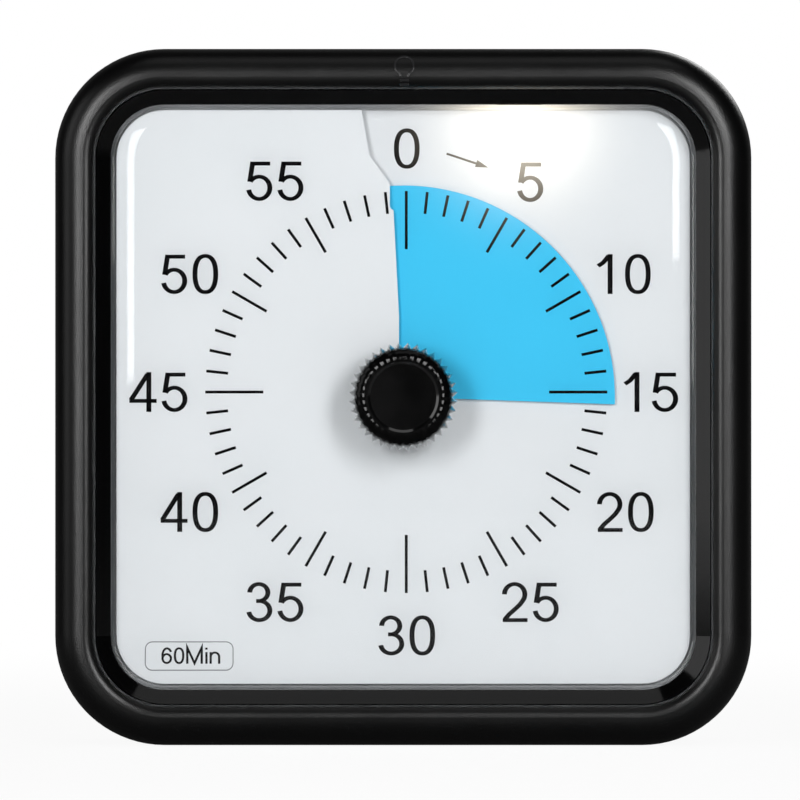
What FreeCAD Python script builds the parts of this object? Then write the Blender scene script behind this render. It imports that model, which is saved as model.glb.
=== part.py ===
import FreeCAD, Part
import math
import os
import re

import Sketcher

# Visual countdown timer: a square case with a clear window, a printed hour ring,
# a blue time disc that screws out through a slit in the dial, and a toothed knob.
#
# Every piece is drawn in one front frame: x to the right, y up from the middle of
# the dial, z forward from the flat back of the case. The frame is then stood up,
# so that the case rests on its underside with the front facing -Y.

SIZES = {
    # case
    "body_width": 140.0,
    "body_depth": 40.0,
    "corner_radius": 22.0,
    "wall": 2.4,
    "rim_crest": 5.8,
    "rim_width": 8.4,
    "rim_lip_width": 2.0,
    "rim_lip_depth": 7.0,
    "rim_hollow_depth": 3.5,
    "split_depth": 28.0,
    "back_round": 4.0,
    "tongue_height": 3.0,
    "tongue_thickness": 1.2,
    # clearances
    "seat_gap": 0.1,
    "tongue_gap": 0.15,
    "loose_gap": 0.3,
    "running_gap": 0.05,
    "thread_gap": 0.02,
    # inner rim ring
    "bezel_width": 2.8,
    "bezel_top_drop": 1.9,
    "bezel_slope": 2.2,
    "bezel_flange": 1.0,
    "bezel_foot_width": 2.5,
    "bezel_foot_height": 2.0,
    # window
    "window_drop": 3.4,
    "window_thickness": 1.5,
    "window_edge_width": 6.0,
    "window_edge_radius": 12.0,
    "window_skirt": 0.9,
    "window_hole_radius": 5.0,
    "catch_width": 5.8,
    "catch_height": 1.6,
    "catch_reach": 0.9,
    "catch_spread_x": 37.7,
    "catch_spread_y": 29.1,
    # dial and time disc
    "dial_drop": 8.2,
    "dial_thickness": 0.6,
    "dial_hole_radius": 7.5,
    "dial_lap_angle": 14.0,
    "dial_end_angle": 357.0,
    "screw_pitch": 2.0,
    "slit_shaft_side": 0.86,
    "slit_shoulder_side": 2.7,
    "slit_shoulder_low": 37.6,
    "slit_shoulder_high": 42.9,
    "slit_shoulder_round": 0.9,
    "slit_ramp_side": 5.1,
    "slit_ramp_high": 46.3,
    "slit_neck_side": 6.8,
    "slit_neck_high": 48.5,
    "slit_top_side": 8.4,
    "disc_radius": 42.6,
    "disc_thickness": 0.4,
    "disc_sweep": 358.0,
    "disc_set_angle": 92.0,
    "hub_radius": 6.5,
    "hub_margin": 0.25,
    # dial carrier
    "carrier_drop": 11.0,
    "carrier_thickness": 1.8,
    "carrier_edge": 7.6,
    "carrier_well_radius": 44.0,
    "carrier_screw_side": 26.0,
    "carrier_ear_radius": 2.6,
    # screw posts
    "corner_post_inset": 4.4,
    "corner_post_radius": 2.7,
    "side_post_inset": 4.6,
    "side_post_radius": 2.4,
    # knob
    "knob_tip_radius": 10.9,
    "knob_tooth_depth": 1.05,
    "knob_teeth": 36,
    "knob_face_radius": 7.1,
    "knob_face_dish": 0.4,
    "knob_shoulder_radius": 3.4,
    "knob_gap": 0.5,
    "knob_proud": 5.5,
    "knob_sleeve_radius": 4.6,
    "knob_sleeve_length": 1.9,
    "knob_bore_depth": 7.0,
    # shaft
    "shaft_radius": 3.0,
    "shaft_flat": 2.4,
    "shaft_collar_radius": 4.2,
    "shaft_collar_width": 1.3,
    "pivot_radius": 1.5,
    # gear train
    "gear_module": 0.5,
    "gear_addendum": 0.7,
    "gear_dedendum": 0.95,
    "gear_thinning": 0.04,
    "pressure_angle": 20.0,
    "centre_teeth": 60,
    "pinion_teeth": 12,
    "idler_teeth": 48,
    "idler_direction": 25.0,
    "motor_direction": 80.0,
    "wheel_width": 2.0,
    "wheel_web": 1.0,
    "arbor_radius": 0.8,
    "clutch_thickness": 0.3,
    "clip_thickness": 0.6,
    "clip_radius": 5.4,
    # movement case, measured from the shaft
    "case_left": 18.4,
    "case_right": 31.9,
    "case_below": 18.4,
    "case_above": 28.9,
    "case_wall": 1.4,
    "case_corner": 3.0,
    "case_depth": 15.2,
    "case_post_inset": 2.8,
    "case_post_radius": 2.5,
    "centre_wheel_height": 9.5,
    "idler_wheel_height": 5.5,
    "motor_radius": 10.0,
    "motor_length": 8.2,
    "motor_socket_wall": 1.4,
    "motor_socket_height": 4.5,
    "motor_bush_radius": 2.6,
    # screws
    "case_screw_radius": 1.3,
    "case_screw_head": 2.4,
    "case_screw_head_height": 1.8,
    "case_screw_length": 14.0,
    "case_screw_sink": 8.0,
    "small_screw_radius": 1.0,
    "small_screw_head": 1.9,
    "small_screw_head_height": 1.3,
    "small_screw_length": 6.0,
    "cross_width": 0.5,
    "cross_depth": 0.7,
    # battery bay and door
    "bay_half_length": 28.0,
    "bay_half_height": 15.3,
    "bay_drop": 41.0,
    "bay_depth": 17.6,
    "bay_wall": 2.0,
    "bay_floor": 1.4,
    "door_thickness": 2.0, "door_rib_start": 3.4, "door_rib_pitch": 2.2,
    "door_rib_reach": 9.0, "door_rib_depth": 0.4, "door_rib_half": 0.5,
    "door_gap": 0.2,
    "hinge_radius": 1.8,
    "hinge_pin_radius": 0.9,
    "hinge_pin_length": 1.5,
    "hinge_half_length": 27.0,
    "hinge_shoulder": 3.15,
    "finger_radius": 6.0,
    "finger_depth": 1.4,
    "cell_radius": 7.1,
    "cell_length": 49.3,
    "cell_nub_radius": 2.7,
    "cell_nub_length": 1.2,
    "cell_spacing": 15.2,
    "contact_thickness": 0.4,
    "contact_width": 11.0,
    "contact_spring_radius": 5.2,
    "contact_spring_tip": 2.8,
    "contact_spring_wall": 0.7,
    # main board on the back cover
    "board_thickness": 1.6,
    "board_lift": 3.6,
    "board_left": 56.0,
    "board_right": 12.0,
    "board_low": 21.0,
    "board_high": 56.0,
    "board_post_radius": 2.6,
    "sounder_radius": 9.5,
    "sounder_height": 3.1,
    "sounder_side": 44.0,
    "sounder_high": 42.0,
    "vent_width": 1.4,
    "vent_pitch": 3.0,
    "vent_length": 13.0,
    "volume_side": 24.0,
    "volume_high": 32.0,
    "volume_travel": 2.5,
    "volume_body_length": 9.4,
    "volume_body_height": 4.8,
    "volume_recess_length": 15.0,
    "volume_recess_height": 8.0,
    "volume_recess_depth": 1.4,
    "volume_cap": 5.0,
    "volume_stem_length": 3.0,
    "volume_stem_height": 2.2,
    "chip_length": 10.0,
    "chip_width": 7.0,
    "chip_height": 1.8,
    "capacitor_radius": 2.5,
    "capacitor_height": 7.0,
    "crystal_radius": 1.5,
    "crystal_length": 8.0,
    # hanging keyhole
    "keyhole_high": 44.0,
    "keyhole_radius": 4.2,
    "keyhole_slot_radius": 2.1,
    "keyhole_rise": 7.0,
    "keyhole_depth": 4.6,
    "keyhole_wall": 1.4,
    # night light on top
    "button_half_length": 9.0,
    "button_radius": 4.0,
    "button_level": 22.0,
    "button_travel": 0.8,
    "button_gap": 0.2,
    "button_flange": 1.2,
    "button_flange_height": 1.4,
    "light_board_drop": 9.8,
    "light_board_thickness": 1.0,
    "light_board_right": 34.0,
    "light_board_back": 15.0,
    "light_board_front": 26.6,
    "light_side": 23.4,
    "light_tongue_half": 4.0,
    "light_tongue_front": 34.2,
    "light_width": 5.0,
    "light_height": 1.2,
    "light_depth": 2.6,
    "switch_width": 6.0,
    "switch_height": 3.5,
    "plunger_radius": 1.6,
    "plunger_length": 2.0,
    "light_post_radius": 2.2, "light_board_edge": 0.6, "light_tongue_gap": 0.5,
}

# Lengths that follow from the sizes above, each written once
DERIVED = {
    "half": "body_width / 2",
    "bezel_inner": "rim_width + bezel_width",
    "bezel_edge_level": "body_depth - bezel_top_drop - bezel_slope",
    "lip_level": "body_depth - rim_lip_depth",
    "split": "body_depth - split_depth",
    "window_front": "body_depth - window_drop",
    "window_back": "window_front - window_thickness",
    "window_outer": "bezel_inner + seat_gap",
    "window_flat": "window_outer + window_edge_width",
    "window_inner": "window_outer + window_skirt",
    "window_arc_centre": "window_front - window_edge_radius",
    "dial_level": "body_depth - dial_drop",
    "dial_edge": "window_inner + loose_gap",
    "carrier_front": "body_depth - carrier_drop",
    "carrier_back": "carrier_front - carrier_thickness",
    "bezel_foot_level": "carrier_front + bezel_foot_height",
    "bezel_foot": "bezel_inner - bezel_foot_width + 1.2",
    "skirt_end": "carrier_front + loose_gap",
    "corner_post": "half - corner_radius + (corner_radius - corner_post_inset) * 0.70710678",
    "side_post": "half - side_post_inset",
    "knob_back": "window_front + knob_gap",
    "knob_front": "body_depth + knob_proud",
    "knob_valley": "knob_tip_radius - knob_tooth_depth",
    "knob_sleeve_end": "knob_back - knob_sleeve_length",
    "shaft_end": "knob_sleeve_end + knob_bore_depth",
    "case_front_face": "carrier_back",
    "case_front_back": "case_front_face - case_wall",
    "case_rear_face": "case_front_face - case_depth",
    "case_floor": "case_rear_face + case_wall",
    "wheel_low": "case_rear_face + centre_wheel_height",
    "wheel_high": "wheel_low + wheel_width",
    "idler_low": "case_rear_face + idler_wheel_height",
    "idler_high": "idler_low + wheel_width",
    "idler_distance": "gear_module * (centre_teeth + pinion_teeth) / 2",
    "motor_distance": "gear_module * (idler_teeth + pinion_teeth) / 2",
    "idler_x": "idler_distance * cos(idler_direction * 1deg)",
    "idler_y": "idler_distance * sin(idler_direction * 1deg)",
    "motor_x": "idler_x + motor_distance * cos(motor_direction * 1deg)",
    "motor_y": "idler_y + motor_distance * sin(motor_direction * 1deg)",
    "motor_front": "case_rear_face - thread_gap",
    "motor_back": "motor_front - motor_length",
    "bay_top": "bay_half_height - bay_drop",
    "bay_bottom": "-(bay_half_height + bay_drop)",
    "recess_side": "bay_half_length + bay_wall",
    "recess_top": "bay_top + bay_wall",
    "recess_bottom": "bay_bottom - bay_wall",
    "hinge_y": "recess_bottom + door_gap + hinge_radius",
    "ear_side": "hinge_half_length + loose_gap",
    "ear_top": "hinge_y + hinge_radius + loose_gap",
    "hinge_depth": "hinge_radius * 2 + loose_gap",
    "cell_level": "door_thickness + cell_radius + 0.6",
    "cell_high_y": "cell_spacing / 2 - bay_drop",
    "cell_low_y": "-(cell_spacing / 2 + bay_drop)",
    "contact_face": "bay_half_length - contact_thickness",
    "spring_length": "2 * contact_face - cell_length - cell_nub_length",
    "board_back": "wall + board_lift",
    "board_front": "board_back + board_thickness",
    "button_top": "half",
    "button_bottom": "half - wall - button_flange_height - button_gap",
    "light_board_high": "half - light_board_drop",
    "light_board_top": "half - light_board_drop + light_board_thickness",
    "light_slot_half": "light_tongue_half + light_tongue_gap",
    "light_post_left": "button_half_length + button_flange + button_gap + loose_gap + light_post_radius",
    "light_board_left": "light_post_left + light_post_radius + light_board_edge",
    "plunger_low": "button_bottom - plunger_length",
}

document = FreeCAD.newDocument("visual_timer")
sheet = document.addObject("Spreadsheet::Sheet", "Sizes")
for row, (alias, number) in enumerate(SIZES.items(), start=1):
    sheet.set("A%d" % row, alias.replace("_", " "))
    sheet.set("B%d" % row, str(number))
    sheet.setAlias("B%d" % row, alias)
document.recompute()

NAME = re.compile(r"[a-z][a-z_]+")


def formula(text):
    """Write a length in the words of the sheet as a full expression."""
    def expand(match):
        word = match.group(0)
        if word in DERIVED:
            return "(" + formula(DERIVED[word]) + ")"
        if word in SIZES:
            return "Sizes." + word
        return word
    return NAME.sub(expand, str(text))


def size(text):
    """Number that a length in the words of the sheet has now."""
    return float(sheet.evalExpression(formula(text)))


NODES = []


def stand_up(piece, x="0", y="0", z="0", turn=0.0):
    """Stand a piece drawn in the front frame upright, at a place in that frame."""
    upright = FreeCAD.Rotation(FreeCAD.Vector(1, 0, 0), 90)
    spun = FreeCAD.Rotation(FreeCAD.Vector(0, 0, 1), turn)
    piece.Placement = FreeCAD.Placement(FreeCAD.Vector(0, 0, 0), upright * spun)
    piece.setExpression("Placement.Base.x", formula(x))
    piece.setExpression("Placement.Base.y", formula("body_depth / 2 - (%s)" % z))
    piece.setExpression("Placement.Base.z", formula("half + (%s)" % y))


def keep(piece, label):
    """Count a piece as a sub-part under its own label."""
    piece.Label = label
    NODES.append(piece)
    return piece


def new_body(label, kept=True):
    """Start a solid in the front frame."""
    body = document.addObject("PartDesign::Body", label)
    body.Label = label
    stand_up(body)
    if kept:
        NODES.append(body)
    return body


def origin_part(body, role):
    """Origin plane or axis of a body."""
    return next(part for part in body.Origin.OriginFeatures if part.Role == role)


def new_sketch(body, plane="XY_Plane", level="0"):
    """Put a sketch on an origin plane, shifted along its normal."""
    sketch = body.newObject("Sketcher::SketchObject", body.Label + "_sketch")
    sketch.AttachmentSupport = (origin_part(body, plane), [""])
    sketch.MapMode = "FlatFace"
    sketch.setExpression("AttachmentOffset.Base.z", formula(level))
    return sketch


def pin_point(sketch, curve, end, x, y):
    """Hold one point of a sketch at a place given in the words of the sheet."""
    for text, axis, kind in ((x, -2, "DistanceX"), (y, -1, "DistanceY")):
        if text == "0":
            sketch.addConstraint(Sketcher.Constraint("PointOnObject", curve, end, axis))
        else:
            rule = Sketcher.Constraint(kind, -1, 1, curve, end, size(text))
            index = sketch.addConstraint(rule)
            sketch.setExpression("Constraints[%d]" % index, formula(text))


def hold_radius(sketch, curve, radius):
    """Hold the radius of a circle or arc."""
    index = sketch.addConstraint(Sketcher.Constraint("Radius", curve, size(radius)))
    sketch.setExpression("Constraints[%d]" % index, formula(radius))


def arc_between(start, end, radius, side):
    """Short arc between two points, its centre to the left (1) or right (-1)."""
    across = end - start
    rise = math.sqrt(max(radius ** 2 - across.Length ** 2 / 4, 0.0))
    left = FreeCAD.Vector(-across.y, across.x, 0).normalize()
    centre = (start + end) / 2 + left * (rise * side)
    first = math.atan2(start.y - centre.y, start.x - centre.x)
    last = math.atan2(end.y - centre.y, end.x - centre.x)
    if side < 0:
        first, last = last, first
    circle = Part.Circle(centre, FreeCAD.Vector(0, 0, 1), radius)
    return Part.ArcOfCircle(circle, first, last)


def outline(sketch, corners):
    """Closed outline through corners. A corner (x, y, radius, side) starts an arc."""
    points = [FreeCAD.Vector(size(corner[0]), size(corner[1]), 0) for corner in corners]
    curves = []
    for index, corner in enumerate(corners):
        start, end = points[index], points[(index + 1) % len(points)]
        if len(corner) == 4:
            arc = arc_between(start, end, size(corner[2]), corner[3])
            flipped = corner[3] < 0
            curves.append((sketch.addGeometry(arc), 2 if flipped else 1, 1 if flipped else 2))
        else:
            line = Part.LineSegment(start, end)
            curves.append((sketch.addGeometry(line), 1, 2))
    for index, (curve, first, last) in enumerate(curves):
        following = curves[(index + 1) % len(curves)]
        rule = Sketcher.Constraint("Coincident", curve, last, following[0], following[1])
        sketch.addConstraint(rule)
        pin_point(sketch, curve, first, corners[index][0], corners[index][1])
        if len(corners[index]) == 4:
            hold_radius(sketch, curve, corners[index][2])


def circle(sketch, x, y, radius):
    """Circle at a place given in the words of the sheet."""
    centre = FreeCAD.Vector(size(x), size(y), 0)
    drawn = Part.Circle(centre, FreeCAD.Vector(0, 0, 1), size(radius))
    curve = sketch.addGeometry(drawn)
    pin_point(sketch, curve, 3, x, y)
    hold_radius(sketch, curve, radius)


def rectangle(x_low, x_high, y_low, y_high):
    """Corners of an upright rectangle."""
    return [(x_low, y_low), (x_high, y_low), (x_high, y_high), (x_low, y_high)]


def minus(text):
    """The same length on the other side."""
    return "-(%s)" % text


def rounded_box(x_low, x_high, y_low, y_high, radius):
    """Corners of a rectangle with round corners."""
    x_a = "%s + %s" % (x_low, radius)
    x_b = "%s - (%s)" % (x_high, radius)
    y_a = "%s + %s" % (y_low, radius)
    y_b = "%s - (%s)" % (y_high, radius)
    return [
        (x_a, y_low), (x_b, y_low, radius, 1),
        (x_high, y_a), (x_high, y_b, radius, 1),
        (x_b, y_high), (x_a, y_high, radius, 1),
        (x_low, y_b), (x_low, y_a, radius, 1),
    ]


def case_outline(inset):
    """Rounded square that lies a given distance inside the case's silhouette."""
    edge = "half - (%s)" % inset
    radius = "corner_radius - (%s)" % inset
    return rounded_box(minus(edge), edge, minus(edge), edge, "(%s)" % radius)


def draw(body, shapes, plane, level):
    """Sketch of outlines and circles."""
    sketch = new_sketch(body, plane, level)
    for shape in shapes:
        if isinstance(shape, tuple):
            circle(sketch, *shape)
        else:
            outline(sketch, shape)
    return sketch


def add(body, low, high, *shapes, plane="XY_Plane"):
    """Pad outlines from one level to another along the plane's normal."""
    feature = body.newObject("PartDesign::Pad", body.Label + "_pad")
    feature.Profile = draw(body, shapes, plane, low)
    feature.setExpression("Length", formula("(%s) - (%s)" % (high, low)))
    return feature


def cut(body, low, high, *shapes, plane="XY_Plane"):
    """Pocket outlines from one level to another along the plane's normal."""
    feature = body.newObject("PartDesign::Pocket", body.Label + "_pocket")
    feature.Profile = draw(body, shapes, plane, high)
    feature.setExpression("Length", formula("(%s) - (%s)" % (high, low)))
    return feature


def four_times(body, *features):
    """Repeat features at the four corners or sides of the case."""
    return repeat(body, 4, *features)


def repeat(body, count, *features):
    """Repeat features round the dial's axis."""
    pattern = body.newObject("PartDesign::PolarPattern", body.Label + "_pattern")
    pattern.Originals = list(features)
    pattern.Axis = (origin_part(body, "Z_Axis"), [""])
    pattern.Angle = 360
    pattern.Occurrences = count
    body.Tip = pattern
    return pattern


def swept_ring(body, profile):
    """Ring whose section follows the case's silhouette; profile x is the inset."""
    spine = new_sketch(body)
    edge, bend = "half", "half - corner_radius"
    outline(spine, [
        ("0", minus(edge)), (bend, minus(edge), "corner_radius", 1),
        (edge, minus(bend)), (edge, bend, "corner_radius", 1),
        (bend, edge), (minus(bend), edge, "corner_radius", 1),
        (minus(edge), bend), (minus(edge), minus(bend), "corner_radius", 1),
        (minus(bend), minus(edge)),
    ])
    section = new_sketch(body, "YZ_Plane")
    outline(section, [("(%s) - half" % corner[0],) + tuple(corner[1:]) for corner in profile])
    feature = body.newObject("PartDesign::AdditivePipe", body.Label + "_sweep")
    feature.Profile = section
    feature.Spine = (spine, [])
    return feature


def revolve(body, profile, plane="XZ_Plane", axis="V_Axis"):
    """Turn a profile round one axis of its sketch."""
    feature = body.newObject("PartDesign::Revolution", body.Label + "_turn")
    sketch = new_sketch(body, plane)
    outline(sketch, profile)
    feature.Profile = sketch
    feature.ReferenceAxis = (sketch, [axis])
    feature.Angle = 360
    return feature


def screw_leaf(body, inner, outer, thickness, first_angle, last_angle, middle):
    """Sheet that climbs forward by one pitch per clockwise turn of the dial."""
    sketch = new_sketch(body, "YZ_Plane")
    low = "(%s) - (%s) / 2" % (middle, thickness)
    high = "(%s) + (%s) / 2" % (middle, thickness)
    outline(sketch, rectangle(inner, outer, low, high))
    upward = FreeCAD.Rotation(FreeCAD.Vector(0, 1, 0), 1)
    sketch.AttachmentOffset = FreeCAD.Placement(FreeCAD.Vector(0, 0, 0), upward)
    turn_back = formula("mod(360 - (%s); 360) * 1deg" % first_angle)
    sketch.setExpression("AttachmentOffset.Rotation.Angle", turn_back)
    feature = body.newObject("PartDesign::AdditiveHelix", body.Label + "_leaf")
    feature.Profile = sketch
    feature.ReferenceAxis = (sketch, ["V_Axis"])
    feature.Mode = 0
    feature.LeftHanded = True
    feature.Angle = 0
    feature.setExpression("Pitch", formula("screw_pitch"))
    turn = "((%s) - (%s)) / 360" % (last_angle, first_angle)
    feature.setExpression("Height", formula("screw_pitch * " + turn))
    return feature


def gear_shape(teeth, width, bore):
    """Spur gear with involute flanks, on the z axis from level 0."""
    module = size("gear_module")
    pitch_radius = module * teeth / 2
    base_radius = pitch_radius * math.cos(math.radians(size("pressure_angle")))
    tip_radius = pitch_radius + module * size("gear_addendum")
    root_radius = pitch_radius - module * size("gear_dedendum")

    def half_angle(radius):
        def unwound(at):
            angle = math.acos(min(base_radius / at, 1.0))
            return math.tan(angle) - angle
        at_pitch = math.pi / (2 * teeth) - size("gear_thinning") / pitch_radius
        return at_pitch + unwound(pitch_radius) - unwound(max(radius, base_radius))

    def point(radius, angle):
        return FreeCAD.Vector(radius * math.cos(angle), radius * math.sin(angle), 0)

    start_radius = max(base_radius, root_radius)
    middle_radius = (start_radius + tip_radius) / 2
    edges = []
    for tooth in range(teeth):
        centre = 2 * math.pi * tooth / teeth
        following = centre + 2 * math.pi / teeth
        wide, middle, narrow = (half_angle(r) for r in (start_radius, middle_radius, tip_radius))
        if root_radius < start_radius:
            root = point(root_radius, centre - wide)
            edges.append(Part.LineSegment(root, point(start_radius, centre - wide)).toShape())
        edges.append(Part.Arc(
            point(start_radius, centre - wide),
            point(middle_radius, centre - middle),
            point(tip_radius, centre - narrow)).toShape())
        edges.append(Part.Arc(
            point(tip_radius, centre - narrow),
            point(tip_radius, centre),
            point(tip_radius, centre + narrow)).toShape())
        edges.append(Part.Arc(
            point(tip_radius, centre + narrow),
            point(middle_radius, centre + middle),
            point(start_radius, centre + wide)).toShape())
        if root_radius < start_radius:
            root = point(root_radius, centre + wide)
            edges.append(Part.LineSegment(point(start_radius, centre + wide), root).toShape())
        gap = math.pi / teeth
        edges.append(Part.Arc(
            point(root_radius, centre + wide),
            point(root_radius, centre + gap),
            point(root_radius, following - wide)).toShape())
    blank = Part.Face(Part.Wire(edges)).extrude(FreeCAD.Vector(0, 0, width))
    if bore > 0:
        blank = blank.cut(Part.makeCylinder(bore, width))
    return blank


def meshing_angle(driver_teeth, driver_angle, teeth, direction):
    """Angle at which a gear meets its neighbour, which lies in the given direction."""
    offset = (driver_angle - direction) * driver_teeth / teeth
    return direction + 180 - offset + 180 / teeth


def feature_piece(label, shape, x="0", y="0", z="0", turn=0.0):
    """Piece whose solid is worked out in code."""
    piece = document.addObject("Part::Feature", label)
    piece.Shape = shape
    stand_up(piece, x, y, z, turn)
    return keep(piece, label)


def screw_set(label, places, radius, head, head_height, length, low):
    """Group of equal screws, one solid at each place."""
    head_top = size(low) + size(head_height)
    shank = size(radius)
    reach = size(length)
    turned = Part.makeCylinder(size(head), size(head_height), FreeCAD.Vector(0, 0, size(low)))
    turned = turned.makeFillet(size(head_height) * 0.3, [turned.Edges[2]])
    body = Part.makeCylinder(shank, reach - shank, FreeCAD.Vector(0, 0, head_top))
    point = Part.makeCone(shank, shank * 0.3, shank, FreeCAD.Vector(0, 0, head_top + reach - shank))
    turned = turned.fuse([body, point]).removeSplitter()
    for turn in (0, 90):
        slot = Part.makeBox(
            size(head) * 1.2, size("cross_width"), size("cross_depth"),
            FreeCAD.Vector(-size(head) * 0.6, -size("cross_width") / 2, size(low)))
        slot.rotate(FreeCAD.Vector(0, 0, 0), FreeCAD.Vector(0, 0, 1), turn)
        turned = turned.cut(slot)
    copies = []
    for x, y in places:
        copy = turned.copy()
        copy.translate(FreeCAD.Vector(size(x), size(y), 0))
        copies.append(copy)
    return feature_piece(label, Part.makeCompound(copies))


# Front housing: a deep square frame whose front edge rolls over to a narrow lip
front_housing = new_body("front_housing")
swept_ring(front_housing, [
    ("0", "split"), ("0", "body_depth - rim_crest", "rim_crest", -1),
    ("rim_crest", "body_depth", "rim_width - rim_crest", -1),
    ("rim_width", "body_depth - rim_width + rim_crest"), ("rim_width", "lip_level"),
    ("rim_width - rim_lip_width", "lip_level"),
    ("rim_width - rim_lip_width", "body_depth - rim_hollow_depth"),
    ("wall", "body_depth - rim_hollow_depth"), ("wall", "split"),
])
hollow_top = "body_depth - rim_hollow_depth"
corner_post = add(front_housing, "split", hollow_top, ("corner_post", "corner_post", "corner_post_radius"))
side_post = add(
    front_housing, "carrier_front", hollow_top, ("side_post", "carrier_screw_side", "side_post_radius"))
four_times(front_housing, corner_post, side_post)
corner_pilot = cut(
    front_housing, "split", "split + case_screw_length",
    ("corner_post", "corner_post", "case_screw_radius + thread_gap"))
side_pilot = cut(
    front_housing, "carrier_front", "carrier_front + small_screw_length",
    ("side_post", "carrier_screw_side", "small_screw_radius + thread_gap"))
four_times(front_housing, corner_pilot, side_pilot)
# opening for the night light's button in the top wall, and the posts of its board
pill = rounded_box(
    "-(button_half_length + button_gap)", "button_half_length + button_gap",
    "button_level - button_radius - button_gap", "button_level + button_radius + button_gap",
    "(button_radius + button_gap - 0.01)")
cut(front_housing, "-half - 1", "-(half - wall - 1)", pill, plane="XZ_Plane")
light_posts = [
    ("-light_post_left", "button_level - 1", "light_post_radius"),
    ("light_board_right - light_post_radius - light_board_edge", "button_level - 1", "light_post_radius"),
]
add(front_housing, "-(half - wall + 0.5)", "-light_board_top", *light_posts, plane="XZ_Plane")
cut(
    front_housing, "-(half - wall - 0.5)", "-light_board_top",
    *[(x, z, "small_screw_radius + thread_gap") for x, z, radius in light_posts], plane="XZ_Plane")

# Bezel ring: the sloping inner frame that holds the window from the front
bezel_ring = new_body("bezel_ring")
bezel_outer = "rim_width + running_gap"
swept_ring(bezel_ring, [
    ("rim_width - bezel_flange", "carrier_front"), ("rim_width - bezel_flange", "lip_level"),
    (bezel_outer, "lip_level"), (bezel_outer, "body_depth - bezel_top_drop"),
    ("bezel_inner", "bezel_edge_level"), ("bezel_inner", "bezel_foot_level"),
    ("bezel_foot", "bezel_foot_level"), ("bezel_foot", "carrier_front"),
])
# pocket from behind for the lamp that lights the dial
cut(
    bezel_ring, "carrier_front - 1", "light_tongue_front + 0.7",
    rectangle("light_side - light_slot_half", "light_side + light_slot_half",
              "half - bezel_inner - 1", "light_board_top + loose_gap"))

# Window: a clear tray with softly rounded edges, held by eight catches on its skirt
front_window = new_body("front_window")
inner_radius = "window_edge_radius - window_thickness"
edge_fall = "sqrt(window_edge_radius ^ 2 - window_edge_width ^ 2)"
inner_fall = "sqrt((%s) ^ 2 - (window_edge_width - window_skirt) ^ 2)" % inner_radius
swept_ring(front_window, [
    ("window_outer", "skirt_end"),
    ("window_outer", "window_arc_centre + " + edge_fall, "window_edge_radius", -1),
    ("window_flat", "window_front"), ("window_flat", "window_back", inner_radius, 1),
    ("window_inner", "window_arc_centre + " + inner_fall), ("window_inner", "skirt_end"),
])
window_half = "half - window_outer"
catch_inner = window_half + " - 0.2"
catch_outer = window_half + " + catch_reach"
catches = []
for side in ("", "-"):
    along_x = side + "catch_spread_x"
    along_y = side + "catch_spread_y"
    x_span = (along_x + " - catch_width / 2", along_x + " + catch_width / 2")
    y_span = (along_y + " - catch_width / 2", along_y + " + catch_width / 2")
    for low, high in ((catch_inner, catch_outer), (minus(catch_outer), minus(catch_inner))):
        catches.append(rectangle(x_span[0], x_span[1], low, high))
        catches.append(rectangle(low, high, y_span[0], y_span[1]))
add(front_window, "skirt_end", "skirt_end + catch_height", *catches)
add(front_window, "window_back", "window_front", case_outline("window_flat"))
cut(front_window, "window_back - 1", "window_front + 1", ("0", "0", "window_hole_radius"))

# Dial plate: one sheet that climbs a full pitch round the shaft and is slit at zero
dial_plate = new_body("dial_plate")
dial_start = "dial_level - screw_pitch * (0.5 + dial_lap_angle / 360)"
screw_leaf(
    dial_plate, "dial_hole_radius", "body_width * 0.65", "dial_thickness",
    "-dial_lap_angle", "dial_end_angle", dial_start)
cut(
    dial_plate, "dial_level - 2 * screw_pitch", "dial_level + 2 * screw_pitch",
    ("0", "0", "body_width * 0.7"), case_outline("dial_edge"))
slit_path = [
    ("-slit_shaft_side", "0"), ("slit_ramp_side", "0"), ("slit_ramp_side", "half"),
    ("-slit_top_side", "half"), ("-slit_top_side", "half - dial_edge"),
    ("-slit_neck_side", "slit_neck_high"), ("-slit_ramp_side", "slit_ramp_high"),
    ("-slit_shoulder_side", "slit_shoulder_high"),
    ("-slit_shoulder_side", "slit_shoulder_low + slit_shoulder_round", "slit_shoulder_round", 1),
    ("-(slit_shoulder_side - slit_shoulder_round)", "slit_shoulder_low"),
    ("-slit_shaft_side", "slit_shoulder_low"),
]
cut(dial_plate, "dial_level + 0.2", "dial_level + 2 * screw_pitch", slit_path)

# Dial carrier: plate behind the dial, with a raised rim that follows the dial's climb
carrier_block = new_body("carrier_block", kept=False)
add(carrier_block, "carrier_back", "carrier_front", case_outline("carrier_edge"))
add(
    carrier_block, "carrier_front", "dial_level + screw_pitch", case_outline("dial_edge"),
    ("0", "0", "carrier_well_radius"))
ear_arm = add(
    carrier_block, "carrier_back", "carrier_front",
    rectangle("half - carrier_edge - 1", "side_post",
              "carrier_screw_side - carrier_ear_radius", "carrier_screw_side + carrier_ear_radius"))
ear_end = add(
    carrier_block, "carrier_back", "carrier_front",
    ("side_post", "carrier_screw_side", "carrier_ear_radius"))
four_times(carrier_block, ear_arm, ear_end)
ear_hole = cut(
    carrier_block, "carrier_back - 1", "carrier_front + 1",
    ("side_post", "carrier_screw_side", "small_screw_radius + seat_gap"))
four_times(carrier_block, ear_hole)
cut(
    carrier_block, "carrier_back - 1", "carrier_front + 1", ("0", "0", "shaft_radius + loose_gap"),
    rectangle("light_side - light_slot_half", "light_side + light_slot_half",
              "half - window_outer + 0.1", "light_board_top + loose_gap"))
case_posts = [
    ("case_right - case_post_inset", "-(case_below - case_post_inset)"),
    ("-(case_left - case_post_inset)", "-(case_below - case_post_inset)"),
    ("-(case_left - case_post_inset)", "case_above - case_post_inset"),
]
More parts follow.
